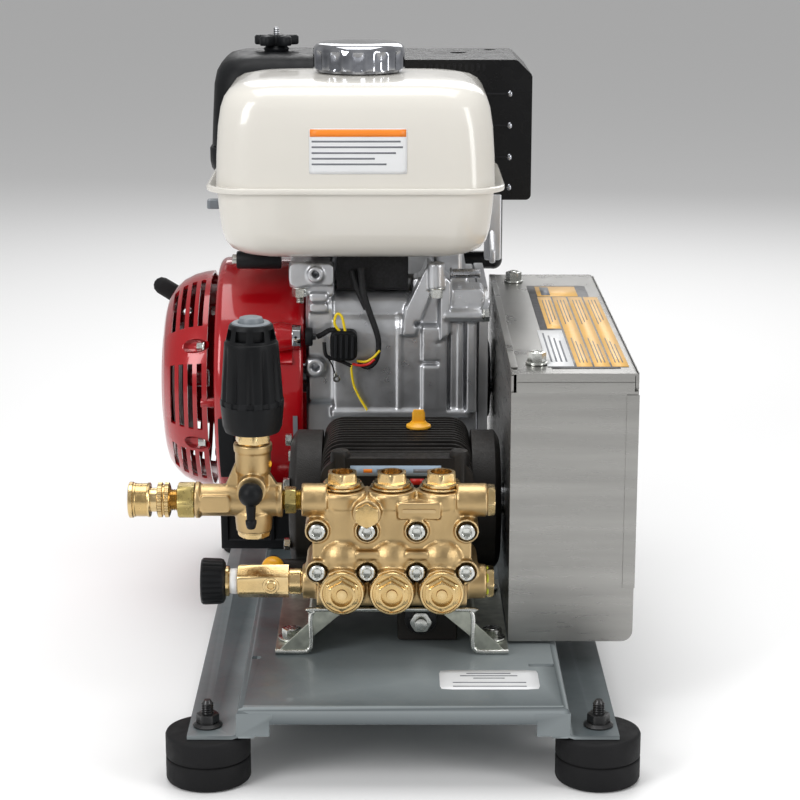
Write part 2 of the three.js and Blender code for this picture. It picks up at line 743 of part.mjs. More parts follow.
// The starter grip, a round-ended bar across the rope.
function starterHandle() {
  const bar = new THREE.CapsuleGeometry(HANDLE.radius, HANDLE.span, 3, 12).rotateX(Math.PI / 2);
  return solid(bar.rotateY(THREE.MathUtils.degToRad(HANDLE.tilt - 90)));
}

function starterRope() {
  const start = 62;
  return rod("y", start, HANDLE.y - HANDLE.radius - GAP, 2.2, [HANDLE.x, HANDLE.z]);
}

// The tank: an upper and a lower shell that meet at a flange, and a filler neck.
function fuelTank() {
  const at = (z, halfX, halfY, corner) => ({
    z,
    x0: TANK.x - halfX,
    x1: TANK.x + halfX,
    y0: TANK.y - halfY,
    y1: TANK.y + halfY,
    corner,
  });
  const upper = [at(199, 122, 93, 30), at(250, 119, 91, 34), at(277, 112, 86, 36), at(288, 92, 70, 34)];
  const lower = [at(196, 121, 93, 30), at(158, 117, 90, 30), at(144, 111, 84, 28), at(134, 92, 64, 24)];
  const { wall } = TANK;
  let tank = loft(upper).add(loft(lower));
  tank = tank.add(loft([at(196, 130, 97, 34), at(199.5, 130, 97, 34)]));
  const hollowTop = upper.map((section) => inset(section, wall));
  hollowTop[3] = inset(upper[3], wall, upper[3].z - wall);
  const hollowLow = lower.map((section) => inset(section, wall));
  hollowLow[3] = inset(lower[3], wall, lower[3].z + wall);
  hollowTop.push(hollowLow[1]);
  tank = tank.subtract(loft(hollowTop)).subtract(loft(hollowLow));
  tank = tank.add(rod("z", 283, 296, 29, [-38, -33]));
  return tank.subtract(rod("z", 270, 297, 26, [-38, -33]));
}

// The filler cap: a scalloped cup over the neck.
function fuelCap() {
  let cap = turned("z", [
    [0, 290],
    [37, 290],
    [41.5, 294],
    [41.5, 308],
    [36, 315],
    [0, 316],
  ]);
  const scallops = 12;
  for (let i = 0; i < scallops; i++) {
    const angle = ((i + 0.5) * 2 * Math.PI) / scallops;
    const centre = [45 * Math.cos(angle), 45 * Math.sin(angle)];
    cap = cap.subtract(rod("z", 289, 312, 6, centre, 8));
  }
  return cap.subtract(rod("z", 289, 305, 30));
}

function cleanerSection(z, margin) {
  const { x0, x1, y0, y1 } = CLEANER;
  return inset({ z, x0, x1, y0, y1, corner: 22 }, margin);
}

function airCleanerBase() {
  const { z0, split, wall } = CLEANER;
  let tray = loft([cleanerSection(z0, 6), cleanerSection(z0 + 10, 0), cleanerSection(split - GAP, 0)]);
  const hollow = [cleanerSection(z0 + wall, 6 + wall), cleanerSection(split + 1, wall)];
  tray = tray.subtract(loft(hollow));
  return tray.subtract(rod("z", z0 - 1, z0 + wall + 1, 14, [CARBURETOR.x, CARBURETOR.y]));
}

function airCleanerCover() {
  const { split, z1, wall } = CLEANER;
  const outer = [cleanerSection(split, 3), cleanerSection(z1 - 22, 5), cleanerSection(z1 - 6, 10)];
  outer.push(cleanerSection(z1, 22));
  const inner = [cleanerSection(split - 1, 3 + wall), cleanerSection(z1 - 22, 5 + wall)];
  inner.push(cleanerSection(z1 - wall, 22));
  return loft(outer).subtract(loft(inner));
}

// A three-lobed knob on the stud that holds the cover.
function wingNut() {
  let nut = rod("z", 0, 15, 10).add(rod("z", 14, 22.5, 3.2));
  for (let i = 0; i < 3; i++) {
    const lobe = new THREE.BoxGeometry(15, 8, 9).translate(15, 0, 10);
    nut = nut.add(solid(lobe.rotateZ(Math.PI / 2 + (i * 2 * Math.PI) / 3)));
  }
  return nut;
}

function carburetor() {
  const { x, y } = CARBURETOR;
  let body = block(x - 20, x + 20, y - 19, y + 19, 114, CLEANER.z0 - GAP);
  body = body.add(rod("z", 98, 115, 17, [x, y]));
  return body.subtract(rod("z", 150, CLEANER.z0, 11, [x, y]));
}

// A lever under the air cleaner, with a finger tab turned up at its end.
function throttleLever() {
  const arm = block(-23, 4, -20, 2, 0, 4);
  return arm.add(block(-34, -22, -24, -10, 0, 9));
}

function muffler() {
  const { x0, x1, y0, y1, z0, z1, wall } = MUFFLER;
  const outline = (margin) => {
    const [a, b, c, d] = [x0 + margin, x1 - margin, z0 + margin, z1 - margin];
    return polygon([
      [a + 8, c],
      [b - 5, c],
      [b, c + 5],
      [b, d - 17],
      [b - 15, d],
      [a + 8, d],
      [a, d - 8],
      [a, c + 8],
    ]);
  };
  let box = plate("y", outline(0), y0, y1).subtract(plate("y", outline(wall), y0 + wall, y1 - wall));
  box = box.subtract(rod("z", z1 - 4, z1 + 1, 8, [56, 150]));
  box = box.subtract(rod("z", z1 - 4, z1 + 1, 6, [88, 184]));
  const pipe = [92, 150];
  box = box.add(rod("z", 84, z0 + 1, 9, pipe));
  return box.add(rod("x", 56, 92, 9, [150, 86]));
}

const engine = group(unit, 0, ENGINE.y, ENGINE.z);
piece(engine, "engine_crankcase", engineCrankcase(), "engineCast");
piece(engine, "crankcase_side_cover", crankcaseSideCover(), "engineCast");
piece(engine, "engine_crankshaft", engineCrankshaft(), "steel");
piece(engine, "flywheel_fan", flywheelFan(), "pumpCast");
piece(engine, "engine_pulley", pulley(DRIVE.engineRadius, ENGINE.shaft, 26), "steel", [
  DRIVE.x, 0, 0,
]);
piece(engine, "fan_shroud", fanShroud(), "redPaint");
piece(engine, "shroud_base", shroudBase(), "blackPlastic");
piece(engine, "engine_switch", engineSwitch(), "chrome", [SWITCH.x, SWITCH.y, SWITCH.z]);
piece(engine, "recoil_cover", recoilCover(), "redPaint");
piece(engine, "recoil_reel", recoilReel(), "blackPlastic");
piece(engine, "starter_handle", starterHandle(), "rubber", [HANDLE.x, HANDLE.y, HANDLE.z]);
piece(engine, "starter_rope", starterRope(), "rubber");
piece(engine, "fuel_tank", fuelTank(), "creamPaint");
piece(engine, "fuel_cap", fuelCap(), "chrome", [-38, -33, 0]);
piece(engine, "air_cleaner_base", airCleanerBase(), "blackPlastic");
piece(engine, "air_cleaner_cover", airCleanerCover(), "blackPlastic");
piece(engine, "wing_nut", wingNut(), "blackPlastic", [-120, 124, CLEANER.z1 + GAP]);
piece(engine, "carburetor", carburetor(), "engineCast");
piece(engine, "throttle_lever", throttleLever(), "greyPlastic", [-150, 74, CLEANER.z0 - 30]);
piece(engine, "muffler", muffler(), "blackPaint");

const cylinder = group(engine, CYLINDER.x, CYLINDER.y, CYLINDER.z);
cylinder.rotation.x = CYLINDER_TILT;
piece(cylinder, "cylinder_head", cylinderHead(), "engineCast");

// ---------------------------------------------------------------- belt drive and its guard

const PULLEYS = [
  { y: PUMP.y, z: PUMP.z, radius: DRIVE.pumpRadius },
  { y: ENGINE.y, z: ENGINE.z, radius: DRIVE.engineRadius },
];

// The closed line of a belt at a distance outside both pulleys.
function beltLine(target, offset) {
  const [a, b] = PULLEYS;
  const heading = Math.atan2(b.z - a.z, b.y - a.y);
  const apart = Math.hypot(b.z - a.z, b.y - a.y);
  const spread = Math.acos((a.radius - b.radius) / apart);
  target.absarc(a.y, a.z, a.radius + offset, heading + spread, heading - spread + 2 * Math.PI, false);
  target.absarc(b.y, b.z, b.radius + offset, heading - spread, heading + spread, false);
  return target;
}

function driveBelt() {
  const loop = beltLine(new THREE.Shape(), GAP + DRIVE.belt);
  loop.holes.push(beltLine(new THREE.Path(), GAP));
  return plate("x", loop, DRIVE.x - DRIVE.width / 2, DRIVE.x + DRIVE.width / 2, 10);
}

function guardBackPlate() {
  const { x0, y0, y1, z0, z1, sheet } = GUARD;
  const edge = sheet + GAP;
  let back = block(x0, x0 + sheet, y0 + edge, y1 - edge, z0 + edge, z1 - edge);
  back = back.subtract(rod("x", x0 - 1, x0 + 3, PUMP.shaft + 3, [PUMP.y, PUMP.z]));
  return back.subtract(rod("x", x0 - 1, x0 + 3, ENGINE.shaft + 3, [ENGINE.y, ENGINE.z]));
}

// The guard is a box open towards the pump, with its lower outer edge rounded.
function beltGuard() {
  const { x0, x1, y0, y1, z0, z1, sheet } = GUARD;
  const [sharp, round] = [1, 9];
  const outer = roundedRect(x0, x1, z0, z1, [sharp, round, 3, sharp]);
  const inner = roundedRect(x0 - 5, x1 - sheet, z0 + sheet, z1 - sheet, [sharp, round - 2, 2, sharp]);
  const box = plate("y", outer, y0, y1, 3);
  return box.subtract(plate("y", inner, y0 + sheet, y1 - sheet, 3));
}

const drive = group(unit, 0, 0, 0);
piece(drive, "drive_belt", driveBelt(), "rubber");
piece(drive, "guard_back_plate", guardBackPlate(), "stainless");
piece(drive, "belt_guard", beltGuard(), "stainless");

// ---------------------------------------------------------------- wiring

// One loom from the switch to a round connector and on to a clip under the tank.
const LOOM = [
  [-73, 366, 262],
  [-66, 372, 272],
  [-58, 382, 279],
  [-50, 388, 276],
  [-42, 390, 268],
  [-30, 391, 256],
  [-16, 393, 254],
  [-6, 394, 264],
  [-8, 393, 282],
  [-16, 392, 300],
  [-24, 391, 316],
];
const CONNECTOR = { x: -51, y: 384, z: 276 };

function wiringLoom() {
  const plug = rod("y", CONNECTOR.y - 8, CONNECTOR.y + 12, 11, [CONNECTOR.x, CONNECTOR.z]);
  return tube(LOOM, 2.4, 26, 6).add(plug);
}

const wiring = group(unit, 0, 0, 0);
piece(wiring, "wiring_loom", wiringLoom(), "blackPlastic");

// ---------------------------------------------------------------- origin at the base's middle

const bounds = new THREE.Box3().setFromObject(unit, true);
const middle = bounds.getCenter(new THREE.Vector3());
unit.position.set(-middle.x, -middle.y, -bounds.min.z);

const assembly = new THREE.Group();
assembly.add(unit);
export default assembly;
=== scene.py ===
from math import asin, cos, pi, radians, sin

import bmesh
import bpy
from mathutils import Matrix, Vector
from mathutils.bvhtree import BVHTree


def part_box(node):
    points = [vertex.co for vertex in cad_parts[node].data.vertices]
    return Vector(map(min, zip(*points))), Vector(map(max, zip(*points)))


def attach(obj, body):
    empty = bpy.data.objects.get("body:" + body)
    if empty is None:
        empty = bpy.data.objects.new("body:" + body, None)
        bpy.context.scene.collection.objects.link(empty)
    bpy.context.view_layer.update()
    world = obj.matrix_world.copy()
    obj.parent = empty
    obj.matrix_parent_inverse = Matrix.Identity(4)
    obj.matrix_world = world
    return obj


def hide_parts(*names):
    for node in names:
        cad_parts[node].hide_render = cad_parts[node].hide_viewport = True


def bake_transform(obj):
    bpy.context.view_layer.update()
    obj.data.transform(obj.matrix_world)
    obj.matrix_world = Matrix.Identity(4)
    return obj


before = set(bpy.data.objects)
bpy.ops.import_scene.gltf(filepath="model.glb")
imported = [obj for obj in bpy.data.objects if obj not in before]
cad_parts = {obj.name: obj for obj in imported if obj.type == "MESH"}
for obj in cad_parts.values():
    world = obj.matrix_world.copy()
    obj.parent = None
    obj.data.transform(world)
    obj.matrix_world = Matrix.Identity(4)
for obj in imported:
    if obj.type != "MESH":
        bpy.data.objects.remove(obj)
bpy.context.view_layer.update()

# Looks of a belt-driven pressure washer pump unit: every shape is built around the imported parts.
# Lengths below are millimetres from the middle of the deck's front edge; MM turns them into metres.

MM = 0.001
DECK_LOW, DECK_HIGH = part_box("base_deck")
FRONT = Vector(((DECK_LOW.x + DECK_HIGH.x) / 2, DECK_LOW.y, 0))


def place(x, y, z, origin=FRONT):
    return origin + Vector((x, y, z)) * MM


BASE = place(0, 0, 0)
PUMP = place(-8.5, 235, 156)  # the pump's crank axis
OUTLET = place(0, 110, 192)  # the outlet pipe's axis
INLET = place(0, 115, 124)  # the inlet pipe's axis
ENGINE = place(0, 488, 200)  # the engine's crank axis

# -------- camera, light and floor


LENS = 99
SENSOR = 36
TILT = 13.84  # degrees below level


def camera():
    data = bpy.data.cameras.new("camera")
    data.lens = LENS
    data.sensor_width = SENSOR
    data.shift_x = 0.0081
    data.clip_end = 50
    eye = bpy.data.objects.new("camera", data)
    eye.location = place(-7.2, -1529, 675.5)
    eye.rotation_euler = (radians(90 - TILT), 0, 0)
    bpy.context.scene.collection.objects.link(eye)
    bpy.context.scene.camera = eye


def area_light(name, spot, aim, size, watts):
    data = bpy.data.lights.new(name, "AREA")
    data.shape = "RECTANGLE"
    data.size, data.size_y = size
    data.energy = watts
    lamp = bpy.data.objects.new(name, data)
    lamp.location = spot
    lamp.rotation_euler = (Vector(aim) - Vector(spot)).to_track_quat("-Z", "Y").to_euler()
    bpy.context.scene.collection.objects.link(lamp)


def studio():
    aim = (0, 0, 0.25)
    area_light("key_light", (-1.5, -1.6, 1.5), aim, (0.9, 1.4), 28)
    area_light("fill_light", (1.7, -1.3, 0.9), aim, (0.5, 1.4), 14)
    area_light("top_light", (0, 0.1, 2.0), aim, (1.4, 1.4), 22)
    area_light("back_light", (0.3, 1.9, 1.4), aim, (1.6, 1.0), 14)
    world = bpy.data.worlds.new("studio")
    world.use_nodes = True
    world.node_tree.nodes["Background"].inputs["Color"].default_value = (1, 1, 1, 1)
    world.node_tree.nodes["Background"].inputs["Strength"].default_value = 0.42
    bpy.context.scene.world = world
    bpy.context.scene.view_settings.view_transform = "Standard"
    bpy.ops.mesh.primitive_plane_add(size=30, location=(0, 0, -0.0003))
    floor = bpy.context.object
    floor.name = "floor"
    paper = bpy.data.materials.new("floor_paper")
    paper.use_nodes = True
    paper.node_tree.nodes["Principled BSDF"].inputs["Base Color"].default_value = (0.9, 0.9, 0.9, 1)
    paper.node_tree.nodes["Principled BSDF"].inputs["Roughness"].default_value = 0.6
    floor.data.materials.append(paper)


# -------- finishes


SLOTS = {}  # the slot that goes with each finish


def finish(name, slot, colour, rough, metal=0.0, spread=0.12, blotch=25, grain=0.1, grain_size=900,
        rough_spread=0.08, stretch=(1, 1, 1), coat=0.0, edge=None, edge_share=0.5, gleam=0.5):
    """A surface with uneven colour and gloss, a fine grain, and lighter edges: wear on some finishes, painted
    highlights on others.

    blotch and grain_size are waves per metre; spread is how far the colour varies either way.
    """
    material = bpy.data.materials.new(name)
    SLOTS[material.name] = slot
    material.use_nodes = True
    nodes, links = material.node_tree.nodes, material.node_tree.links

    def wire(made, sockets, output=0):
        for socket, value in sockets.items():
            if isinstance(value, bpy.types.NodeSocket):
                links.new(value, made.inputs[socket])
            else:
                made.inputs[socket].default_value = value
        return made.outputs[output]

    def node(kind, sockets, output):
        return wire(nodes.new("ShaderNode" + kind), sockets, output)

    def noise(scale, detail):
        return node("TexNoise", {"Scale": scale, "Detail": detail, "Vector": vector}, "Fac")

    def remap(value, low, high, to_low, to_high):
        reach = {"Value": value, "From Min": low, "From Max": high, "To Min": to_low, "To Max": to_high}
        return node("MapRange", reach, "Result")

    def mix(share, first, second):
        made = nodes.new("ShaderNodeMix")
        made.data_type = "RGBA"
        return wire(made, {0: share, 6: first, 7: second}, 2)

    where = node("TexCoord", {}, "Object")
    vector = node("Mapping", {"Scale": stretch, "Vector": where}, "Vector")
    dark, light = [[c * share for c in colour] + [1] for share in (1 - spread, 1 + spread)]
    tint = mix(remap(noise(blotch, 5), 0.35, 0.65, 0, 1), dark, light)
    # Lighter edges found by pointiness: wear on some finishes, painted highlights and reflections on others.
    if edge:
        bent = node("NewGeometry", {}, "Pointiness")
        tint = mix(remap(bent, 0.52, 0.6, 0, edge_share), tint, (*edge, 1))
    gloss = remap(noise(blotch * 4, 6), 0.3, 0.7, rough - rough_spread, rough + rough_spread)
    bump = {"Strength": grain, "Distance": 0.6 * MM, "Height": noise(grain_size, 3)}
    wire(nodes["Principled BSDF"], {"Base Color": tint, "Roughness": gloss,
        "Normal": node("Bump", bump, "Normal"), "Metallic": metal, "Specular IOR Level": gleam,
        "Coat Weight": coat, "Coat Roughness": 0.04})
    return material


# The deck's light edge colour is a painted highlight along its folded edges.
DECK_PAINT = finish("deck_powder_coat", "deck_paint", (0.07, 0.086, 0.092), 0.38, spread=0.05, blotch=12,
    grain=0.12, coat=0.15, edge=(0.34, 0.38, 0.39), edge_share=0.6)
RUBBER = finish("black_rubber", "rubber", (0.007, 0.007, 0.0075), 0.62, spread=0.3, grain=0.35,
    grain_size=1500, edge=(0.022, 0.022, 0.024), gleam=0.16)
ZINC = finish("zinc_plate", "zinc", (0.62, 0.63, 0.6), 0.24, 1.0, blotch=90, grain=0.08)
GALVANISED = finish("galvanised_sheet", "zinc", (0.42, 0.44, 0.38), 0.36, 0.9, spread=0.22, blotch=110,
    grain=0.18, edge=(0.62, 0.64, 0.58))
BLACK_OXIDE = finish("black_oxide", "black_paint", (0.016, 0.016, 0.017), 0.32, 0.6, spread=0.3,
    blotch=120, edge=(0.08, 0.08, 0.08))
FORGED_BRASS = finish("forged_brass", "forged_brass", (0.5, 0.355, 0.175), 0.36, 1.0, spread=0.1,
    blotch=45, grain=0.3, grain_size=1300, edge=(0.86, 0.68, 0.42), rough_spread=0.06)
BRIGHT_BRASS = finish("machined_brass", "bright_brass", (0.6, 0.42, 0.185), 0.22, 1.0, blotch=70,
    grain=0.12, grain_size=1800, edge=(0.9, 0.72, 0.42))
OLIVE_BRASS = finish("dull_brass", "bright_brass", (0.43, 0.33, 0.11), 0.3, 1.0, spread=0.14, blotch=60,
    grain=0.16, edge=(0.72, 0.58, 0.26))
PUMP_CAST = finish("pump_casting", "pump_cast", (0.012, 0.011, 0.0105), 0.48, spread=0.22, blotch=50,
    grain=0.5, edge=(0.06, 0.055, 0.05), edge_share=0.55, gleam=0.2)
# The near-white edge colour paints highlights along the castings' edges.
ENGINE_CAST = finish("die_cast_aluminium", "engine_cast", (0.57, 0.58, 0.6), 0.32, 0.8, spread=0.14,
    blotch=20, grain=0.2, grain_size=420, rough_spread=0.05, edge=(0.85, 0.86, 0.88))
STEEL = finish("machined_steel", "steel", (0.42, 0.43, 0.45), 0.26, 1.0, blotch=60)
CERAMIC = finish("ceramic", "ceramic", (0.8, 0.77, 0.7), 0.12, spread=0.03, grain=0.02)
YELLOW_PLASTIC = finish("yellow_plastic", "yellow_plastic", (0.88, 0.42, 0.012), 0.33, spread=0.05,
    grain=0.12)
BLACK_PLASTIC = finish("black_plastic", "black_plastic", (0.0055, 0.006, 0.0068), 0.42, spread=0.2,
    grain=0.3, grain_size=1600, edge=(0.03, 0.032, 0.035), edge_share=0.45, gleam=0.15)
CLEANER_PLASTIC = finish("satin_black_plastic", "black_plastic", (0.0065, 0.007, 0.0078), 0.42,
    spread=0.15, grain=0.22, grain_size=2200, edge=(0.02, 0.021, 0.024), gleam=0.15)
GREY_PLASTIC = finish("grey_plastic", "grey_plastic", (0.13, 0.15, 0.17), 0.42, spread=0.1, grain=0.15,
    edge=(0.3, 0.33, 0.35))
RED_PAINT = finish("red_gloss_paint", "red_paint", (0.37, 0.0025, 0.0065), 0.24, 0.1, spread=0.08,
    blotch=8, grain=0.05, grain_size=260, coat=0.8, rough_spread=0.04, gleam=0.3)
CREAM_PAINT = finish("cream_gloss_paint", "cream_paint", (0.69, 0.665, 0.61), 0.22, spread=0.015,
    blotch=6, grain=0.05, grain_size=240, coat=0.6, rough_spread=0.03, gleam=0.35)
BLACK_PAINT = finish("black_gloss_paint", "black_paint", (0.005, 0.005, 0.0054), 0.26, spread=0.2,
    blotch=20, grain=0.12, grain_size=500, coat=0.1, edge=(0.03, 0.03, 0.033), gleam=0.16)
# The chrome's dark bluish tone and near-white edges are painted reflections.
CHROME = finish("chrome", "chrome", (0.3, 0.31, 0.34), 0.06, 1.0, spread=0.5, blotch=34, grain=0.01,
    rough_spread=0.02, edge=(0.85, 0.86, 0.88), edge_share=0.7)
STAINLESS = finish("brushed_stainless", "stainless", (0.36, 0.355, 0.34), 0.3, 1.0, spread=0.07, blotch=7,
    grain_size=300, stretch=(1, 1, 14), rough_spread=0.05)
FLYWHEEL = finish("flywheel_casting", "pump_cast", (0.03, 0.055, 0.055), 0.4, 0.3, spread=0.3, blotch=60,
    grain=0.3, edge=(0.1, 0.16, 0.16))
# Black for the braided cables, and for the dark block that paints the shade under the tank.
BLACK_CABLE_AND_SHADE = finish("braided_sleeve_and_shade", "", (0.008, 0.008, 0.009), 0.5, spread=0.5, blotch=500, grain=0.8,
    grain_size=1400, gleam=0.3)
YELLOW_WIRE = finish("yellow_wire", "", (0.9, 0.66, 0.012), 0.35, spread=0.06, grain=0.05)
RED_WIRE = finish("red_wire", "", (0.6, 0.02, 0.015), 0.35, spread=0.06, grain=0.05)
TAPE = finish("thread_tape", "", (0.86, 0.87, 0.88), 0.5, spread=0.04, blotch=200, grain=0.3)
WHITE_LABEL = finish("label_white", "", (0.74, 0.75, 0.76), 0.4, spread=0.02, grain=0.03)
ORANGE_LABEL = finish("label_orange", "", (0.88, 0.24, 0.02), 0.35, spread=0.03, grain=0.03)
AMBER_LABEL = finish("label_amber", "", (0.78, 0.47, 0.15), 0.4, spread=0.03, grain=0.03)
BLACK_LABEL = finish("label_black", "", (0.09, 0.09, 0.095), 0.4, spread=0.05, grain=0.03)
GREY_LABEL = finish("label_grey", "", (0.16, 0.17, 0.19), 0.4, spread=0.05, grain=0.03)
BLUE_LABEL = finish("label_blue", "", (0.3, 0.39, 0.49), 0.4, spread=0.04, grain=0.03)
SEALANT = finish("thread_sealant", "", (0.5, 0.55, 0.03), 0.5, spread=0.3, blotch=300, grain=0.6)
BELT_CLOTH = finish("belt_cloth", "", (0.02, 0.02, 0.021), 0.7, spread=0.2, blotch=300, grain=0.5)

# -------- solids: (corners, faces) in millimetres


def at(axis, along, a, b):
    """A point at a distance along an axis; a and b are the other two coordinates in X, Y, Z order."""
    return {"x": (along, a, b), "y": (a, along, b), "z": (a, b, along)}[axis]


def skin(axis, loops, centre=(0, 0), sides=48, closed=False, flat=False):
    """A skin through loops round an axis, each (distance, radius); a radius may depend on the angle.

    Its ends run in to the axis, are left as flat rings, or are joined to each other when it is closed.
    """
    corners, faces, rings = [], [], []
    if not closed and not flat:
        loops = [(loops[0][0], 0)] * (loops[0][1] != 0) + loops + [(loops[-1][0], 0)] * (loops[-1][1] != 0)
    for distance, radius in loops:
        count = 1 if radius == 0 else sides
        rings.append(range(len(corners), len(corners) + count))
        for i in range(count):
            angle = 2 * pi * i / sides
            r = radius(angle) if callable(radius) else radius
            a, b = centre[0] + r * cos(angle), centre[1] + r * sin(angle)
            corners.append(at(axis, distance, a, b))
    pairs = list(zip(rings, rings[1:])) + ([(rings[-1], rings[0])] if closed else [])
    for low, high in pairs:
        for i in range(sides):
            quad = [low[i % len(low)], low[(i + 1) % len(low)], high[(i + 1) % len(high)],
                high[i % len(high)]]
            faces.append(list(dict.fromkeys(quad)))
    if flat:
        faces += [list(rings[0]), list(rings[-1])]
    return corners, [face for face in faces if len(face) > 2]


def rod(axis, low, high, radius, centre=(0, 0), sides=40, edge=0.6):
    e = min(edge, radius / 2, (high - low) / 2.2)
    loops = [(low, radius - e), (low + 0.3 * e, radius - 0.3 * e), (low + e, radius), (high - e, radius),
        (high - 0.3 * e, radius - 0.3 * e), (high, radius - e)]
    return skin(axis, loops, centre, sides)


def ring(axis, low, high, inner, outer, centre=(0, 0), sides=48, edge=0.5):
    loops = [(low, inner), (low, outer - edge), (low + edge, outer), (high - edge, outer),
        (high, outer - edge), (high, inner)]
    return skin(axis, loops, centre, sides, closed=True)


def hexagon(flats, turn=0.0):
    """The radius of a hexagon, by its width across the flats, at each angle."""
    return lambda angle: flats / 2 / cos((angle + turn) % (pi / 3) - pi / 6)


def hex_prism(axis, low, high, flats, centre=(0, 0), turn=0.0, recess=0.0, depth=0.0, edge=0.7, pip=0.0):
    """A hexagonal head with chamfered corners, and a round recess in its high end, with a pip in it."""
    shape = hexagon(flats, turn)
    step = 1 if high > low else -1
    loops = [(low, shape), (high - step * edge * 1.6, shape),
        (high - step * edge * 0.4, lambda angle: min(shape(angle), flats / 2 + edge)),
        (high, flats / 2 - edge)]
    if recess:
        loops += [(high, recess), (high - step * depth, recess - 0.4)]
        if pip:
            loops += [(high - step * depth, pip), (high - step * (depth - 1.4), pip - 0.4),
                (high - step * (depth - 1.4), 0)]
        else:
            loops += [(high - step * depth, 0)]
    else:
        loops += [(high, 0)]
    return skin(axis, loops, centre, 48)


def block(x0, x1, y0, y1, z0, z1):
    corners = [(x, y, z) for x in (x0, x1) for y in (y0, y1) for z in (z0, z1)]
    faces = [[0, 1, 3, 2], [4, 6, 7, 5], [0, 4, 5, 1], [2, 3, 7, 6], [0, 2, 6, 4], [1, 5, 7, 3]]
    return corners, faces


def rounded(a0, a1, b0, b1, radii, steps=8):
    """The outline of a rectangle with rounded corners: low-low, high-low, high-high, low-high."""
    radii = radii if isinstance(radii, (list, tuple)) else [radii] * 4
    centres = [(a0, b0, 1, 1, 180), (a1, b0, -1, 1, 270), (a1, b1, -1, -1, 0), (a0, b1, 1, -1, 90)]
    outline = []
    for (a, b, da, db, start), radius in zip(centres, radii):
        for i in range(steps + 1):
            angle = radians(start + 90 * i / steps)
            outline.append((a + da * radius + radius * cos(angle), b + db * radius + radius * sin(angle)))
    return outline


def prism(axis, outline, low, high):
    n = len(outline)
    corners = [at(axis, distance, a, b) for distance in (low, high) for a, b in outline]
    faces = [list(range(n)), list(range(n, 2 * n))]
    faces += [[i, (i + 1) % n, n + (i + 1) % n, n + i] for i in range(n)]
    return corners, faces


def bar(axis, low, high, *outline):
    """A prism with a rounded rectangle for its outline."""
    return prism(axis, rounded(*outline), low, high)


def loft(axis, sections):
    """A skin through outlines of equal length, each (distance, outline), with both ends closed."""
    n = len(sections[0][1])
    corners = [at(axis, distance, a, b) for distance, outline in sections for a, b in outline]
    faces = [list(range(n)), list(range(len(corners) - n, len(corners)))]
    for level in range(len(sections) - 1):
        low, high = level * n, (level + 1) * n
        faces += [[low + i, low + (i + 1) % n, high + (i + 1) % n, high + i] for i in range(n)]
    return corners, faces


def smooth_line(points, steps=6):
    """Points on a Catmull-Rom curve through the given points."""
    points = [Vector(p) for p in points]
    padded = [2 * points[0] - points[1], *points, 2 * points[-1] - points[-2]]
    line = []
    for a, b, c, d in zip(padded, padded[1:], padded[2:], padded[3:]):
        for i in range(steps):
            t = i / steps
            line.append(0.5 * (2 * b + (c - a) * t + (2 * a - 5 * b + 4 * c - d) * t ** 2
                + (3 * b - a - 3 * c + d) * t ** 3))
    return line + [points[-1]]


def tube(points, radius, sides=12, steps=6):
    """A round tube along a smooth curve; its radius may depend on how far along it is, from 0 to 1."""
    line = smooth_line(points, steps)
    side = (line[1] - line[0]).orthogonal().normalized()
    corners, faces = [], []
    for k, point in enumerate(line):
        run = (line[min(k + 1, len(line) - 1)] - line[max(k - 1, 0)]).normalized()
        side = (side - run * side.dot(run)).normalized()
        up = run.cross(side)
        r = radius(k / (len(line) - 1)) if callable(radius) else radius
        for i in range(sides):
            angle = 2 * pi * i / sides
            corners.append(tuple(point + r * (side * cos(angle) + up * sin(angle))))
    for k in range(len(line) - 1):
        low, high = k * sides, (k + 1) * sides
        faces += [[low + i, low + (i + 1) % sides, high + (i + 1) % sides, high + i] for i in range(sides)]
    return corners, faces + [list(range(sides)), list(range(len(corners) - sides, len(corners)))]


def ball(centre, radii, rings=16, sides=32):
    """An ellipsoid."""
    loops = [(-cos(pi * i / rings), sin(pi * i / rings) if 0 < i < rings else 0) for i in range(rings + 1)]
    corners, faces = skin("z", loops, sides=sides)
    return [tuple(c + v * r for c, v, r in zip(centre, corner, radii)) for corner in corners], faces


def moved(solid, x=0, y=0, z=0):
    return [(a + x, b + y, c + z) for a, b, c in solid[0]], solid[1]


def turned(solid, axis, degrees, about=(0, 0, 0)):
    turn = Matrix.Rotation(radians(degrees), 3, axis.upper())
    pivot = Vector(about)
    return [tuple(turn @ (Vector(corner) - pivot) + pivot) for corner in solid[0]], solid[1]


def thread(axis, low, high, radius, centre=(0, 0), pitch=1.8, sides=24):
    """A threaded rod."""
    turns = max(1, round((high - low) / pitch))
    loops = [(low, 0), (low, radius - 0.8)]
    for i in range(turns):
        start = low + (high - low) * i / turns
        loops += [(start + 0.5 * (high - low) / turns, radius), (start + (high - low) / turns, radius - 0.7)]
    return skin(axis, loops + [(high, 0)], centre, sides)


def hex_bolt(axis, seat, centre, flats, step=1, height=0.0, washer=0.0, stud=0.0, turn=0.0):
    """A washer, a hexagonal head or nut, and the end of a stud, standing off a seat one way."""
    height = height or flats * 0.62
    solids = []
    top = seat
    if washer:
        top = seat + 1.8 * step
        solids.append(rod(axis, *sorted((seat, top)), washer, centre, 32, 0.4))
    solids.append(hex_prism(axis, top, top + height * step, flats, centre, turn))
    if stud:
        solids.append(thread(axis, *sorted((top + height * step - step, top + (height + stud) * step)),
            flats * 0.3, centre))
    return solids


def socket_screw(axis, seat, centre, radius, height, step=1):
    """A cylinder head with a hexagonal socket."""
    top = seat + height * step
    socket = hexagon(radius * 1.05)
    loops = [(seat, radius), (top - 0.6 * step, radius), (top, radius - 0.7), (top, radius * 0.64),
        (top - 0.5 * step, socket), (top - height * 0.6 * step, socket)]
    return skin(axis, loops, centre, 36)


# -------- pieces


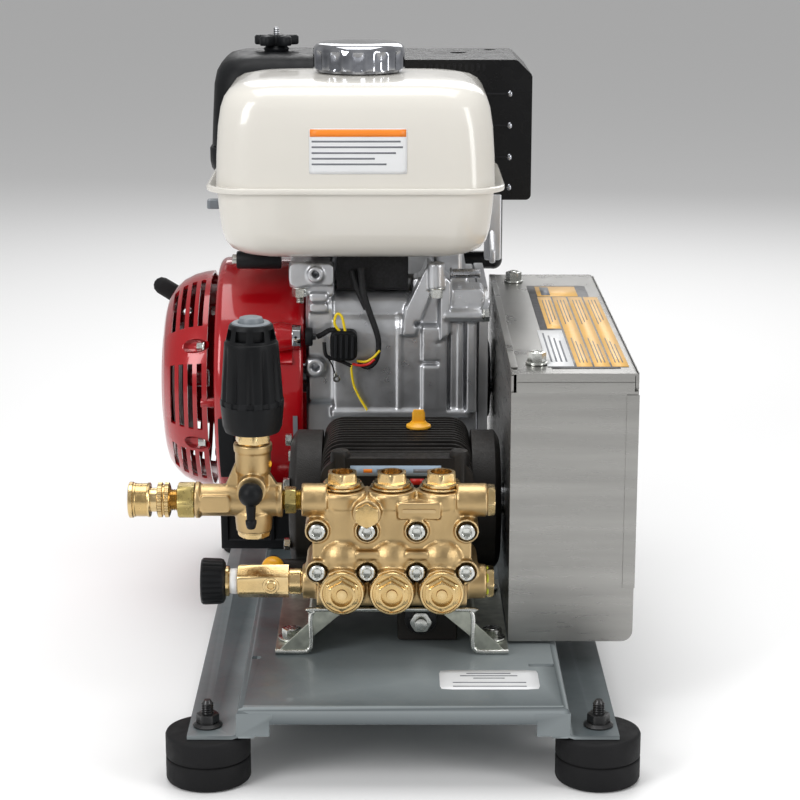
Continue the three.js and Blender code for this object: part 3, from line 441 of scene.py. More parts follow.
def mesh_of(solids, origin):
    shape = bmesh.new()
    for corners, faces in solids:
        made = [shape.verts.new(origin + Vector(corner) * MM) for corner in corners]
        for face in faces:
            shape.faces.new([made[i] for i in face])
    bmesh.ops.recalc_face_normals(shape, faces=shape.faces)
    return taken(shape)


def taken(shape):
    mesh = bpy.data.meshes.new("shape")
    shape.to_mesh(mesh)
    shape.free()
    return mesh


def bake(thing):
    """Applies the modifiers."""
    bpy.context.view_layer.update()
    ready = thing.evaluated_get(bpy.context.evaluated_depsgraph_get())
    mesh = bpy.data.meshes.new_from_object(ready)
    thing.modifiers.clear()
    old = thing.data
    thing.data = mesh
    bpy.data.meshes.remove(old)


def link(name, mesh, material=None):
    thing = bpy.data.objects.new(name, mesh)
    bpy.context.scene.collection.objects.link(thing)
    if material:
        mesh.materials.append(material)
    return thing


def modify(thing, kind, **settings):
    modifier = thing.modifiers.new(kind, kind)
    for key, value in settings.items():
        setattr(modifier, key, value)


def cut(thing, cutters, origin, overlapping=False):
    knife = link("knife", mesh_of(cutters, origin))
    modify(thing, "BOOLEAN", operation="DIFFERENCE", solver="EXACT", use_self=overlapping, object=knife)
    bake(thing)
    bpy.data.objects.remove(knife)


def piece(name, solids, material, origin=BASE, body="root", **looks):
    return dress(link(name, mesh_of(solids, origin), material), origin, body, **looks)


def dress(thing, origin, body="root", slot=None, bevel=0.0, segments=2, cutters=None, voxel=0.0, soften=4,
        node=(), sharp=38, overlapping=False):
    """Finishes a piece. voxel fuses its solids into one casting, which soften rounds off."""
    material = thing.data.materials[0]
    if cutters:
        cut(thing, cutters, origin, overlapping)
    if voxel:
        modify(thing, "REMESH", mode="VOXEL", voxel_size=voxel * MM)
        modify(thing, "SMOOTH", factor=0.5, iterations=soften)
        bake(thing)
        sharp = 180
    if bevel:
        modify(thing, "BEVEL", width=bevel * MM, segments=segments, limit_method="ANGLE",
            angle_limit=radians(36))
        bake(thing)
    if not thing.data.materials:
        thing.data.materials.append(material)
    thing.data.shade_smooth()
    if sharp < 180:
        thing.data.set_sharp_from_angle(angle=radians(sharp))
    if bevel and not voxel:
        modify(thing, "WEIGHTED_NORMAL", keep_sharp=True)
        bake(thing)
    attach(thing, body)
    slot = SLOTS[material.name] if slot is None else slot
    if node:
        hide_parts(*([node] if isinstance(node, str) else node))
    return thing


def refined(name, node, material, bevel=0.8, **looks):
    """A copy of a CAD node's mesh with flat faces joined and its edges rounded."""
    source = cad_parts[node]
    shape = bmesh.new()
    shape.from_mesh(source.data)
    bmesh.ops.remove_doubles(shape, verts=shape.verts, dist=1e-6)
    bmesh.ops.dissolve_limit(shape, angle_limit=radians(1), verts=shape.verts, edges=shape.edges)
    return dress(link(name, taken(shape), material), BASE, bevel=bevel, node=node, **looks)


LYING = (1, 0, 0), (0, 1, 0)  # a label's two directions, across it and up it, when it lies on top
FACING = (1, 0, 0), (0, 0, 1)  # and when it faces the front


def decal(name, target, spot, directions, size, material, body="root", lift=0.25, cells=(16, 12), corner=0):
    """A thin label laid on a piece: it is looked for from spot, square to its two directions."""
    across, up = map(Vector, directions)
    inwards = up.cross(across)
    tree = BVHTree.FromPolygons([v.co for v in target.data.vertices],
        [p.vertices for p in target.data.polygons])
    width, height = size
    shape = bmesh.new()
    grid = {}
    for i in range(cells[0] + 1):
        for j in range(cells[1] + 1):
            a, b = (i / cells[0] - 0.5) * width, (j / cells[1] - 0.5) * height
            if corner and abs(a) > width / 2 - 1e-6 and abs(b) > height / 2 - 1e-6:
                a, b = a * (1 - corner / width), b * (1 - corner / height)
            start = spot + (across * a + up * b) * MM
            hit = tree.ray_cast(start, inwards)[0]
            if hit is not None:
                grid[i, j] = shape.verts.new(hit - inwards * lift * MM)
    for i in range(cells[0]):
        for j in range(cells[1]):
            corners = [grid.get(key) for key in ((i, j), (i + 1, j), (i + 1, j + 1), (i, j + 1))]
            if all(corners):
                shape.faces.new(corners)
    bmesh.ops.recalc_face_normals(shape, faces=shape.faces)
    thing = link(name, taken(shape), material)
    modify(thing, "SOLIDIFY", thickness=0.12 * MM, offset=0)
    bake(thing)
    thing.data.shade_smooth()
    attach(thing, body)
    return thing


# -------- deck, feet and pump bracket


def base():
    deck = refined("deck_sheet", "base_deck", DECK_PAINT, bevel=0.9, segments=3)
    decal("deck_label", deck, place(66, 55, 90), LYING, (76, 41), WHITE_LABEL, cells=(8, 6), corner=2.5)
    for i, (wide, y) in enumerate(((34, 68), (44, 63), (24, 58), (56, 49), (56, 41))):
        decal(f"deck_label_bar_{i}", deck, place(66, y, 90), LYING, (wide, 1.6), GREY_LABEL, lift=0.4,
            cells=(4, 1))
    for end, y in (("front", 21), ("rear", 589)):
        for side, x in (("left", -147), ("right", 147)):
            foot(f"{end}_{side}", x, y)
    for side in (-1, 1):
        tab = [(side * 124.4, 40.8), (side * 99.4, 40.8), (side * 99.4, 53.2), (side * 97.2, 55.4),
            (side * 97.2, 59), (side * 124.4, 59)]
        piece(f"deck_apron_end_{side + 2}", [prism("y", tab[::side], -0.3, 2.8)], DECK_PAINT, bevel=0.5)
    bracket()


def foot(where, x, y):
    profile = [(0, 29.4), (0.9, 31.2), (2.6, 32), (17.6, 32), (18.4, 31.6), (18.9, 30.6), (19.3, 30.6),
        (19.8, 31.6), (20.6, 32), (35.8, 32), (37.5, 31.2), (38.2, 29.2)]
    piece(f"rubber_foot_{where}", [skin("z", profile, (x, y), 72)], RUBBER, node=f"foot_{where}", sharp=60)
    flange = skin("z", [(41.7, 11), (42.7, 11.2), (44.6, 9)], (x, y), 40)
    nut = hex_prism("z", 44, 51.5, 15, (x, y), edge=0.9)
    stud = thread("z", 40, 60, 4.6, (x, y))
    tip = skin("z", [(59.5, 4), (62, 2.6)], (x, y), 20)
    piece(f"foot_nut_{where}", [flange, nut, stud, tip], BLACK_OXIDE)


def bracket():
    refined("bracket_sheet", "pump_bracket", GALVANISED, bevel=1.1, segments=3)
    fold = [(92, 66.8), (70, 66.8), (65.6, 68.8), (63.8, 73.5), (63.8, 95), (61.8, 100), (57, 102)]
    line = fold + [(-x, z) for x, z in reversed(fold)]
    rim = tube([(x - 8.5, 111, z) for x, z in line], 1.9, 12, 5)
    piece("bracket_rim", [rim], ZINC)
    for side, x in (("left", -88.3), ("right", 71.3)):
        for end, y in (("front", 136), ("rear", 260)):
            head = hex_bolt("z", 69, (x, y), 14, height=7, washer=11)
            head.append(skin("z", [(77, 6.2), (78, 5)], (x, y), 32))
            piece(f"bracket_bolt_{end}_{side}", head, ZINC)
    piece("belt_tension_block", [block(-4, 44, 140, 205, 65.2, 99)], PUMP_CAST, bevel=2.5)
    piece("belt_tension_washer", [rod("y", 136.5, 139.8, 13, (14.5, 85), 40, 0.8)], BLACK_OXIDE)
    stud = hex_bolt("y", 136.3, (14.5, 85), 15.5, step=-1, height=9)
    stud.append(rod("y", 122, 130, 5.2, (14.5, 85), 24, 1.2))
    piece("belt_tension_nut", stud, ZINC)


# -------- pump, about its crank axis

CYLINDERS = {"left": -38.5, "middle": 0, "right": 38.5}
SCREWS_X = (-57.75, -19.25, 19.25, 57.75)
SCREWS_Z = (15, -18)


def manifold():
    solids = [bar("z", -44, 30, -55.5, 56, -136, -85.6, 6), bar("x", -58.5, 58.5, -140, -90, -46.6, -27, 4)]
    for x in CYLINDERS.values():
        solids += [skin("z", [(-20, 18.2), (30, 18.6), (32, 19.6), (41, 19.6), (43, 18.4)], (x, -118.5),
            40), ball((x, -122, -9), (21.5, 23.5, 19.5), 14, 28), rod("z", -40, -10, 10.5, (x, -131), 28),
            rod("y", -150, -90, 18, (x, -31), 40)]
    for low, high in ((-70, -50), (50, 74)):
        solids.append(rod("x", low, high, 13, (-125, 36), 32))
    solids.append(rod("x", -70, 74, 13.6, (-120, -32), 32))
    for x in SCREWS_X:
        for z in SCREWS_Z:
            solids.append(rod("y", -141, -90, 9.6, (x, z), 28, 0.4))
        solids.append(bar("y", -136, -90, x - 4, x + 4, -20, 16, 3, 2))
    for x in SCREWS_X[1:3]:
        solids.append(bar("y", -142.5, -120, x - 8, x + 8, -7, -1, 1, 2))
    solids += [rod("y", -144.7, -120, 11, (-19.25, 30), 32),
        prism("y", [(-30, 30), (-8.5, 30), (-19.25, 44)], -140, -110),
        bar("y", -139.6, -118, 4.5, 37.5, 24.5, 37.5, 1.5, 3)]
    cutters = [rod("y", -160, -134.5, 7.9, (x, z), 28, 0.2) for x in SCREWS_X for z in SCREWS_Z]
    for x in CYLINDERS.values():
        cutters.append(rod("y", -125, -80, 9.9, (x, 0), 28, 0.2))
    return piece("manifold_forging", solids, FORGED_BRASS, PUMP, cutters=cutters, overlapping=True,
        voxel=1.15, soften=3, node="pump_manifold")


def manifold_trim():
    mark = [bar("y", -140.4, -138.6, 8, 34, 29.6, 32.6, 1.4, 3)]
    piece("manifold_boss_mark", mark, FORGED_BRASS, PUMP, bevel=0.2)
    for which, x in CYLINDERS.items():
        cap = [ring("z", 43.3, 45.2, 3, 17.2, (x, -115), edge=0.9),
            ring("z", 45, 48.6, 3, 15, (x, -115), edge=1.1),
            hex_prism("z", 47.6, 56, 22, (x, -115), pi / 6, recess=8.4, depth=5.5)]
        piece(f"top_valve_cap_{which}", cap, BRIGHT_BRASS, PUMP, node=f"valve_cap_top_{which}")
        face = skin("y", [(-150.3, 17.2), (-153, 17.3), (-154, 16.6), (-154.2, 15.2), (-153.4, 14.8)],
            (x, -31), 64)
        step = hex_prism("y", -153, -156.2, 24.4, (x, -31), pi / 6, edge=0.5)
        head = hex_prism("y", -156, -160.7, 20, (x, -31), pi / 6, recess=8.4, depth=4.4, edge=0.4, pip=4.4)
        piece(f"front_valve_cap_{which}", [face, step, head], BRIGHT_BRASS, PUMP,
            node=f"valve_cap_front_{which}")
    for i, x in enumerate(SCREWS_X):
        for j, z in enumerate(SCREWS_Z):
            screw = [socket_screw("y", -134.8, (x, z), 6.3, 9, -1)]
            piece(f"manifold_screw_{i}_{j}", screw, ZINC, PUMP)
    for name, (y, z) in (("outlet", (-125, 36)), ("inlet", (-120, -32))):
        plug = [hex_prism("x", 74.3, 80, 22, (y, z)), rod("x", 68, 75, 9.8, (y, z))]
        piece(f"{name}_gallery_plug", plug, BRIGHT_BRASS, PUMP, node=f"{name}_port_plug")
    piece("inlet_plug_sealant", [ring("x", 74.05, 75.6, 7, 11.6, (-120, -32), 40, 0.5)], SEALANT, PUMP)
    plug = [hex_prism("y", -145.3, -150.5, 17.2, (-19.25, 30), pi / 6, edge=0.3)]
    piece("manifold_plug", plug, BRIGHT_BRASS, PUMP, node="manifold_front_plug")


def crankcase():
    body = bar("y", -84.5, 34.8, -53.5, 61.5, -51.5, 58, [5, 5, 15, 15])
    solids = [body, bar("y", -84.6, -76, -56.8, 64.8, -51.6, 56, [5, 5, 16, 16])]
    fin = rounded(-56.9, 64.9, -40, 61.9, [3, 3, 17, 17])
    for i in range(15):
        y = -74 + 7.6 * i
        low = fin if i > 3 else rounded(-56.9, 64.9, -40, 61.9 - 1.2 * (4 - i), [3, 3, 17, 17])
        solids.append(prism("y", low, y, y + 2.6))
    for x in (-41, 53.5):
        solids += [skin("z", [(30, 8), (60, 8), (63, 6.6), (64, 0)], (x, -78), 28),
            rod("y", -92, -70, 8, (x * 1.05 - 3, -34), 24)]
    holes = [rod("x", -58, -50, 33), rod("x", 57, 66, 33), rod("z", 50, 64, 8.4, (22, -2), 24)]
    holes += [rod("y", -92, -76, 9.7, (x, 0), 24) for x in CYLINDERS.values()]
    thing = piece("crankcase_casting", solids, PUMP_CAST, PUMP, bevel=0.5, cutters=holes,
        overlapping=True, node="pump_crankcase")
    decal("crankcase_label", thing, place(3, -110, 48, PUMP), FACING, (72, 8.6), BLUE_LABEL, cells=(8, 1))
    for name, x, wide, tone in (("mark", -22, 7, ORANGE_LABEL), ("text", -4, 22, GREY_LABEL),
            ("code", 24, 20, GREY_LABEL)):
        where = place(x + 3, -110, 48, PUMP)
        decal(f"crankcase_label_{name}", thing, where, FACING, (wide, 3), tone, lift=0.4, cells=(4, 1))
    decal("crankcase_label_red", thing, place(20, -110, 39, PUMP), FACING, (11, 5), RED_WIRE, cells=(2, 1))
    bolts = []
    for i in range(6):
        angle = radians(60 * i + 30)
        bolts.append((51 * cos(angle), 51 * sin(angle)))
    flat = [block(-100, 100, -60, 60, -60, -51.4)]
    left = skin("x", [(-85.4, 30), (-83.5, 31), (-83.5, 49), (-82.8, 52), (-79, 57), (-77, 58),
        (-57.3, 57.8), (-57.3, 28), (-67.5, 28)], sides=80)
    piece("pump_left_cover", [left], PUMP_CAST, PUMP, bevel=0.5, sharp=30, cutters=flat,
        node="pump_side_cover")
    heads = [solid for spot in bolts[:4] + bolts[5:] for solid in hex_bolt("x", -83.2, spot, 9, -1, 5)]
    piece("left_cover_bolts", heads, ZINC, PUMP)
    right = skin("x", [(65.4, 13), (65.4, 57.8), (84, 58), (86, 56), (88.3, 52), (88.9, 50), (88.9, 24),
        (87, 22), (87, 13)], sides=80, closed=True)
    piece("pump_right_cover", [right], PUMP_CAST, PUMP, bevel=0.5, sharp=30, cutters=flat,
        node="pump_bearing_cover")
    drain = [rod("x", -98, -56.9, 5, (-50, -41.6), 24), rod("y", -58, -42, 6, (-96.9, -41.6), 24)]
    piece("pump_drain_pipe", drain, PUMP_CAST, PUMP)
    cap = skin("y", [(-56, 9.4), (-63, 9.8), (-66, 8.6), (-67.4, 5), (-67.8, 0)], (-96.9, -41.6), 40)
    piece("pump_drain_cap", [cap], YELLOW_PLASTIC, PUMP, sharp=50)


def oil_cap():
    origin = place(22, -2, 62, PUMP)
    grip = rounded(-5.4, 5.4, -2.4, 2.4, 2, 4)
    top = rounded(-4.4, 4.4, -1.6, 1.6, 1.4, 4)
    shape = [skin("z", [(0.3, 10), (1, 10.4), (2.4, 10), (3.6, 7.6), (5.4, 6.2), (5.8, 0)]),
        loft("z", [(3, grip), (12.6, grip), (14.2, top), (15, top)]), rod("z", -8, 1, 7.8)]
    piece("oil_filler_cap", shape, YELLOW_PLASTIC, origin, "pump_oil_cap", node="pump_oil_cap")


def pump_rotor():
    shaft = [rod("x", -64, 146.5, 12, edge=1)]
    for i, x in enumerate(CYLINDERS.values()):
        angle = 2 * pi * i / 3
        shaft.append(rod("x", x - 10, x + 10, 17, (9 * cos(angle), 9 * sin(angle))))
    piece("pump_crank", shaft, STEEL, PUMP, "pump_rotor", node="pump_crankshaft")
    grooved_pulley("pump_sheave", 76, 12, 24, place(128.5, 0, 0, PUMP), "pump_rotor", "pump_pulley")
    for which, x in CYLINDERS.items():
        rods = [rod("y", -60, -41, 11.5, (x, 0)), rod("y", -60.6, -58, 9.6, (x, 0))]
        piece(f"crosshead_{which}", rods, STEEL, PUMP, f"plunger_{which}")
        piece(f"ceramic_plunger_{which}", [rod("y", -112, -60.3, 9, (x, 0))], CERAMIC, PUMP,
            f"plunger_{which}", node=f"plunger_{which}")


def grooved_pulley(name, radius, shaft, hub, origin, body, node):
    loops = [(-15, shaft + 0.3), (-15, hub), (-4, hub + 1), (-4, radius - 10), (-15, radius - 8),
        (-15, radius - 0.8)]
    for i in range(5):
        x = -12.4 + 5.2 * i
        loops += [(x - 1.6, radius - 0.1), (x, radius - 3), (x + 2, radius - 3), (x + 3.4, radius - 0.1)]
    loops += [(15, radius - 0.8), (15, radius - 8), (4, radius - 10), (4, hub + 1), (15, hub),
        (15, shaft + 0.3)]
    wheel = skin("x", loops, sides=96, closed=True)
    holes = []
    if radius > 60:
        holes = [rod("x", -8, 8, 11, (46 * cos(radians(a)), 46 * sin(radians(a))), 24)
            for a in range(0, 360, 60)]
    piece(name, [wheel], STEEL, origin, body, bevel=0.3, cutters=holes, node=node)


# -------- outlet side, about the pipe axis

UNLOADER_X = -115.7


def knob():
    fluted = 12

    def groove(radius, depth):
        return lambda angle: radius - depth * max(0.0, cos(fluted * angle)) ** 2

    def teeth(radius, depth):
        return lambda angle: radius - (depth if cos(fluted * angle) > 0.35 else 0)

    loops = [(55, 19.6), (55.6, 21), (60, 22.8), (74, 24.2), (77, 24.4), (77.3, teeth(24.7, 1.3)),
        (81, teeth(24.5, 1.3)), (81.6, groove(23.9, 2.1)), (100, groove(22.7, 1.6)),
        (114, groove(21.6, 1)), (122, groove(21, 0.4)), (124.5, 20.8), (125.6, 20.4), (126.2, 19.6),
        (136, 17.4), (138.2, 16.9), (139.6, 16), (139.9, 14.4), (139.2, 13.4), (139.6, 9.9), (139.9, 0)]
    windows = []
    for i in range(8):
        window = bar("x", 14.6, 30, -4.6, 4.6, 128, 136.3, 0.8, 3)
        windows.append(turned(window, "z", 45 * i + 22.5))
    piece("pressure_knob", [moved(skin("z", loops, sides=144), x=UNLOADER_X)], BLACK_PLASTIC, OUTLET,
        "pressure_knob", cutters=[moved(w, x=UNLOADER_X) for w in windows], node="unloader_knob", sharp=32)
    button = skin("z", [(139, 9.6), (142.6, 9.4), (144.4, 8.6), (145, 6.8), (144.7, 0)], (UNLOADER_X, 0), 48)
    rim = ring("z", 139.1, 140.9, 10.2, 14.8, (UNLOADER_X, 0), edge=0.8)
    piece("knob_button", [button, rim], GREY_PLASTIC, OUTLET, "pressure_knob")


def unloader():
    x = UNLOADER_X
    solids = [rod("x", -160.6, -94, 12.6, sides=36), rod("x", -160.9, -157, 14.2, sides=36),
        rod("x", -97, -93.1, 13.4, sides=36), skin("z",
        [(-24, 13.6), (-16, 14.4), (-9, 14.4), (-8, 13.2), (12, 12.6), (22, 12.6), (24, 13.8), (39, 13.8),
        (40, 14.8), (45.5, 15), (46, 14)], (x, 0), 40),
        prism("y", [(x - 23, 9), (x - 6, 2), (x - 8, 38), (x - 12.5, 33)], -4.5, 4.5),
        prism("y", [(x + 20, 10), (x + 6, 2), (x + 8, 30), (x + 11.5, 24)], -4, 4),
        rod("y", -23.5, 0, 10.2, (x, 14), 32), ring("y", -24, -20, 5, 11.2, (x, 14), 32),
        bar("y", -13.6, 0, x - 40, x - 18, -7, 7, 2, 3)]
    piece("unloader_forging", solids, FORGED_BRASS, OUTLET, voxel=0.75, soften=3, node="unloader_body")
    bottom = [hex_prism("z", -24, -29, 22, (x, 0), edge=0.8), rod("z", -25.4, -23.6, 12.4, (x, 0))]
    neck = [rod("z", 45, 52, 11.4, (x, 0)), hex_prism("z", 47, 55.5, 24.5, (x, 0), 0.3)]
    piece("unloader_end_nut", bottom, BRIGHT_BRASS, OUTLET)
    piece("unloader_neck_nut", neck, BRIGHT_BRASS, OUTLET)
    piece("paint_dot", [ball((x + 13.2, -4, 30), (1.5, 2, 2.6), 8, 16)], YELLOW_PLASTIC, OUTLET, slot="")
    nipple = [hex_prism("x", -91, -82.6, 18.6), thread("x", -99, -90, 8, pitch=1.4),
        thread("x", -83, -70, 8, pitch=1.4)]
    piece("outlet_pipe_nipple", nipple, OLIVE_BRASS, OUTLET, node="outlet_nipple")


def elbow():
    x, z = UNLOADER_X, 14
    tail = skin("z", [(-27, 2.6), (-26, 3.4), (-22.5, 4.3), (-20.5, 4.3), (-19.5, 3.2), (-8, 4), (-2, 5),
        (0, 0)], (x, -34), 32)
    solids = [ball((x, -34, z), (9.4, 9.4, 9.4)), rod("y", -36, -15, 4.2, (x, z)), moved(tail, z=z)]
    piece("bypass_ball_elbow", solids, BLACK_PLASTIC, OUTLET, "bypass_elbow", node="bypass_elbow", sharp=50)


def coupler():
    adapter = [hex_prism("x", -161.4, -174.4, 24.6, edge=0.9), rod("x", -165, -155, 8),
        ring("x", -163, -161.3, 8, 13)]
    piece("outlet_hex_adapter", adapter, OLIVE_BRASS, OUTLET, node="outlet_adapter")

    def knurl(radius):
        return lambda angle: radius - 0.5 * (sin(36 * angle) > 0)

    neck = [thread("x", -182, -173.5, 8.4, pitch=1.5)]
    ribs = skin("x", [(-190, 7), (-190, 12.2), (-189.4, knurl(13.6)), (-186.4, knurl(13.6)), (-185.8, 12),
        (-184.6, 12), (-184, knurl(13.6)), (-181.2, knurl(13.6)), (-180.4, 12), (-179.6, 9), (-179.6, 7)],
        sides=144, closed=True)
    inner = ring("x", -211, -188, 6.4, 9.3)
    piece("coupler_socket_body", [*neck, ribs, inner], BRIGHT_BRASS, OUTLET, node="coupler_body")
    sleeve = skin("x", [(-212.3, 9.8), (-212.3, 13), (-211.6, 14), (-209, 14), (-208.4, 13.3),
        (-207, 13.2), (-206.6, 12.9), (-198, 12.9), (-197.6, 13.3), (-196.2, 13.5), (-195.5, 13),
        (-195.5, 9.8)], sides=72, closed=True)
    piece("coupler_outer_sleeve", [sleeve], BRIGHT_BRASS, OUTLET, "coupler_sleeve", node="coupler_sleeve",
        sharp=30)


# -------- inlet side, about the pipe axis


def inlet():
    collar = [skin("x", [(-97, 8.4), (-89, 8.6), (-88.6, 10.2), (-80, 10.4), (-79.4, 9.2), (-78, 9.2),
        (-77.6, 10.2), (-68, 10.2)], sides=56)]
    piece("inlet_pipe_nipple", collar, BRIGHT_BRASS, INLET, node="inlet_nipple")
    body = [hex_prism("x", -89.4, -129.4, 23.4, turn=pi / 6, edge=1), rod("x", -146, -128, 9, edge=0.4),
        ring("x", -146, -142.4, 5, 11.5), ring("y", -12.2, -10, 5.4, 6.6, (-103, 0), 40, 0.4)]
    piece("inlet_hex_body", body, BRIGHT_BRASS, INLET, node="inlet_filter_body")
    piece("inlet_front_plug", [socket_screw("y", -11.6, (-103, 0), 4.4, 1.4, -1)], BRIGHT_BRASS, INLET)
    wrap = skin("x", [(-135.6, 9.4), (-135, 9.9), (-130.6, 10.1), (-129.8, 9.6)])
    piece("inlet_thread_tape", [wrap], TAPE, INLET)
    rings = [ring("x", -139, -136, 8.9, 12), ring("x", -142, -139.8, 8.9, 10.6)]
    piece("hose_nut_collar", rings, BRIGHT_BRASS, INLET, "hose_nut")

    def ribbed(radius):
        return lambda angle: radius - 0.7 * max(0.0, cos(24 * angle)) ** 4

    nut = skin("x", [(-157.8, 13), (-157.8, 17), (-156.6, 18.2), (-155, ribbed(18.4)),
        (-143, ribbed(17.9)), (-140.6, 17), (-139.1, 14.4), (-139.1, 9.8), (-141.8, 9.8), (-142, 13)],
        sides=120, closed=True)
    piece("garden_hose_nut", [nut], BLACK_PLASTIC, INLET, "hose_nut", node="hose_nut", sharp=32)


# -------- engine: castings


def engine_casting():
    solids = [bar("x", -86, 68.8, 404, 562, 73, 299, [12, 12, 20, 20]),
        block(-86, 68.8, 395, 575, 65, 73), bar("x", -61, 17, 396.5, 440, 188, 283, [3, 3, 20, 20]),
        bar("x", -3.2, 0, 395.2, 440, 186, 283.6, [3, 3, 20, 20]),
        bar("x", -63, 60, 394, 420, 185, 192, 2), bar("x", -84, -62, 398, 440, 196, 300, [8, 8, 18, 18])]
    for z, reach in ((296, 391), (286, 394)):
        solids.append(bar("y", reach, 430, -82, -66, z - 4, z + 4, 2, 3))
    solids += [bar("y", 388, 436, -100, -60, 307, 327, 5, 4),
        bar("y", 396, 436, -86, -60, 296, 312, 3, 3), rod("y", 384, 420, 7.2, (-76.2, 318), 28),
        rod("z", 305, 328, 9, (-91, 397), 28), rod("y", 388, 420, 8.2, (-77, 232.8), 28),
        bar("y", 390, 420, -86, -75, 224, 241, 3, 3), rod("z", 305, 327.6, 8.2, (30.4, 392), 32)]
    arm = [(23, 326), (33, 318), (12, 262), (1, 262), (3, 284)]
    solids += [prism("y", arm, 389, 430), prism("y", [(34, 320), (44, 310), (42, 262), (35, 258)], 389,
        430), bar("y", 402, 430, 10, 42, 255, 312, 4, 3)]
    for low, high in ((254.5, 269), (236.6, 253.4), (192, 233.4)):
        solids.append(bar("y", 393.5, 420, 18.4, 32, low, high, 1.5, 3))
    solids.append(bar("y", 398, 420, 16, 34, 190, 270, 2, 3))
    for x, wide, reach in ((37, 7, 394), (46, 4, 397), (53, 5, 395.5), (63, 9, 392)):
        solids.append(bar("x", x - wide / 2, x + wide / 2, reach, 420, 190, 292, [3, 3, 9, 9]))
    solids += [bar("y", 394, 430, 42, 74, 286.5, 303, 4, 3), rod("x", 38, 72, 5.6, (393, 279.5), 28),
        bar("x", -70, 60, 432, 560, 290, 309, 6)]
    for x in (-70, 42):
        solids.append(bar("z", 296, 333.5, x - 13, x + 13, 436, 533, 4))
    holes = [rod("y", 380, 400, 3.4, (-76.2, 318), 24, 0.2),
        rod("y", 380, 400, 3.6, (-77, 232.8), 24, 0.2), rod("x", -90, -70, 20, (488, 200)),
        rod("y", 384, 404, 2.6, (13.5, 272), 20, 0.2)]
    piece("engine_block_casting", solids, ENGINE_CAST, voxel=1.3, soften=3, cutters=holes,
        overlapping=True, node="engine_crankcase")
    cover = [bar("x", 69.3, 77.8, 403, 563, 72, 300, [12, 12, 22, 22]),
        skin("x", [(77, 40), (81, 37), (82.6, 34)], (488, 200), 64)]
    for y in (430, 520):
        for z in (100, 280):
            cover.append(rod("x", 77, 80.5, 8, (y, z), 24))
    bore = [rod("x", 60, 90, 14.9, (488, 200), 40, 0.2)]
    piece("engine_side_cover", cover, ENGINE_CAST, bevel=1.0, cutters=bore, overlapping=True,
        node="crankcase_side_cover")
    loose_engine_parts()


def loose_engine_parts():
    for name, x, y in (("left", -90.5, 397), ("right", 31, 392)):
        bolt = hex_bolt("z", 306, (x, y), 12.5, -1, 8, washer=7.8, stud=6 if name == "left" else 0)
        piece(f"tank_bolt_{name}", bolt, ZINC)
    bolt = hex_bolt("x", 72, (393, 279.5), 10, 1, 4.6, washer=5.8)
    piece("cover_bolt", bolt, ZINC)
    piece("control_tube", [rod("x", 45, 70, 4.2, (402, 316)), ring("x", 43, 45, 1.5, 5.2, (402, 316))], STEEL)
    stay = [prism("x", [(556, 300), (572, 300), (572, 352), (560, 364), (556, 364)], 80, 96),
        prism("x", [(540, 300), (556, 300), (556, 330), (540, 312)], 84, 90)]
    piece("muffler_stay", stay, ENGINE_CAST, bevel=2)
    clamp = [rod("x", -148, -108, 8, (420, 325), 32, 1.2)]
    piece("fuel_line_clamp", clamp, BLACK_PLASTIC)
    piece("fuel_line_clamp_screw", [socket_screw("x", -148, (420, 325), 5, 4, -1)], ZINC)
    # A dark block that paints the shade under the tank; it is no part of the engine.
    piece("painted_shade_under_tank", [bar("x", -58, 6, 405, 430, 300, 332, 3)], BLACK_CABLE_AND_SHADE)
    refined("cylinder_and_head", "cylinder_head", ENGINE_CAST)
    refined("carburetor_body", "carburetor", ENGINE_CAST, bevel=1.2)
    valve_cover()
    crank = [rod("x", -166, -44, 13.9, edge=1.5), rod("x", 24, 138, 13.9, edge=1.5)]
    crank += [rod("x", x, x + 12, 44, (-8, 0), 64, 1.5) for x in (-45, 13)]
    crank.append(rod("x", -45, 25, 15, (30, 0)))
    piece("engine_crank", crank, STEEL, ENGINE, "engine_rotor", node="engine_crankshaft")
    wheel = [skin("x", [(-150, 60), (-148, 84), (-146, 86), (-126, 86), (-125, 84)], sides=96)]
    vane = prism("x", [(54, -1.6), (68, 0.5), (83, 4.5), (82, 8), (67, 3.8), (53.5, 1.6)], -163.5, -149)
    wheel += [turned(vane, "x", 30 * i) for i in range(12)]
    bore = [rod("x", -152, -124, 14.3, sides=40, edge=0.2)]
    piece("flywheel_and_fan", wheel, FLYWHEEL, ENGINE, "engine_rotor", bevel=0.5, cutters=bore,
        overlapping=True, node="flywheel_fan")
    grooved_pulley("engine_sheave", 36, 14.1, 20, place(120, 0, 0, ENGINE), "engine_rotor", "engine_pulley")


def valve_cover():
    def on_head(solid):
        return moved(turned(solid, "x", 25), -10, 80, 20)

    cover = [bar("y", 124.6, 127.8, -37, 37, -35, 35, 10),
        loft("y", [(127.6, rounded(-29, 29, -27, 27, 9)), (130, rounded(-27.6, 27.6, -25.6, 25.6, 9)),
        (131, rounded(-25, 25, -23, 23, 8))])]
    cover += [bar("y", 130.5, 132, -22, 22, z - 1, z + 1, 0.9, 3) for z in (-14, -7, 0, 7, 14)]
    piece("valve_cover", [on_head(solid) for solid in cover], ENGINE_CAST, ENGINE, bevel=0.6)
    bolts = [on_head(solid) for x in (-33, 33) for z in (-31, 31)
        for solid in hex_bolt("y", 125, (x, z), 10, 1, 6, washer=6)]
    piece("valve_cover_bolts", bolts, ZINC, ENGINE)
    plug = [rod("x", -52, -40, 7, (95, 14), 32), rod("x", -58, -50, 9, (95, 14), 32, 1.5),
        tube([(-54, 95, 14), (-60, 88, 24), (-62, 70, 34), (-62, 52, 40)], 3.2, 12, 8)]
    piece("spark_plug_boot", [on_head(solid) for solid in plug], BLACK_PLASTIC, ENGINE)


# -------- engine: shroud, starter and switch


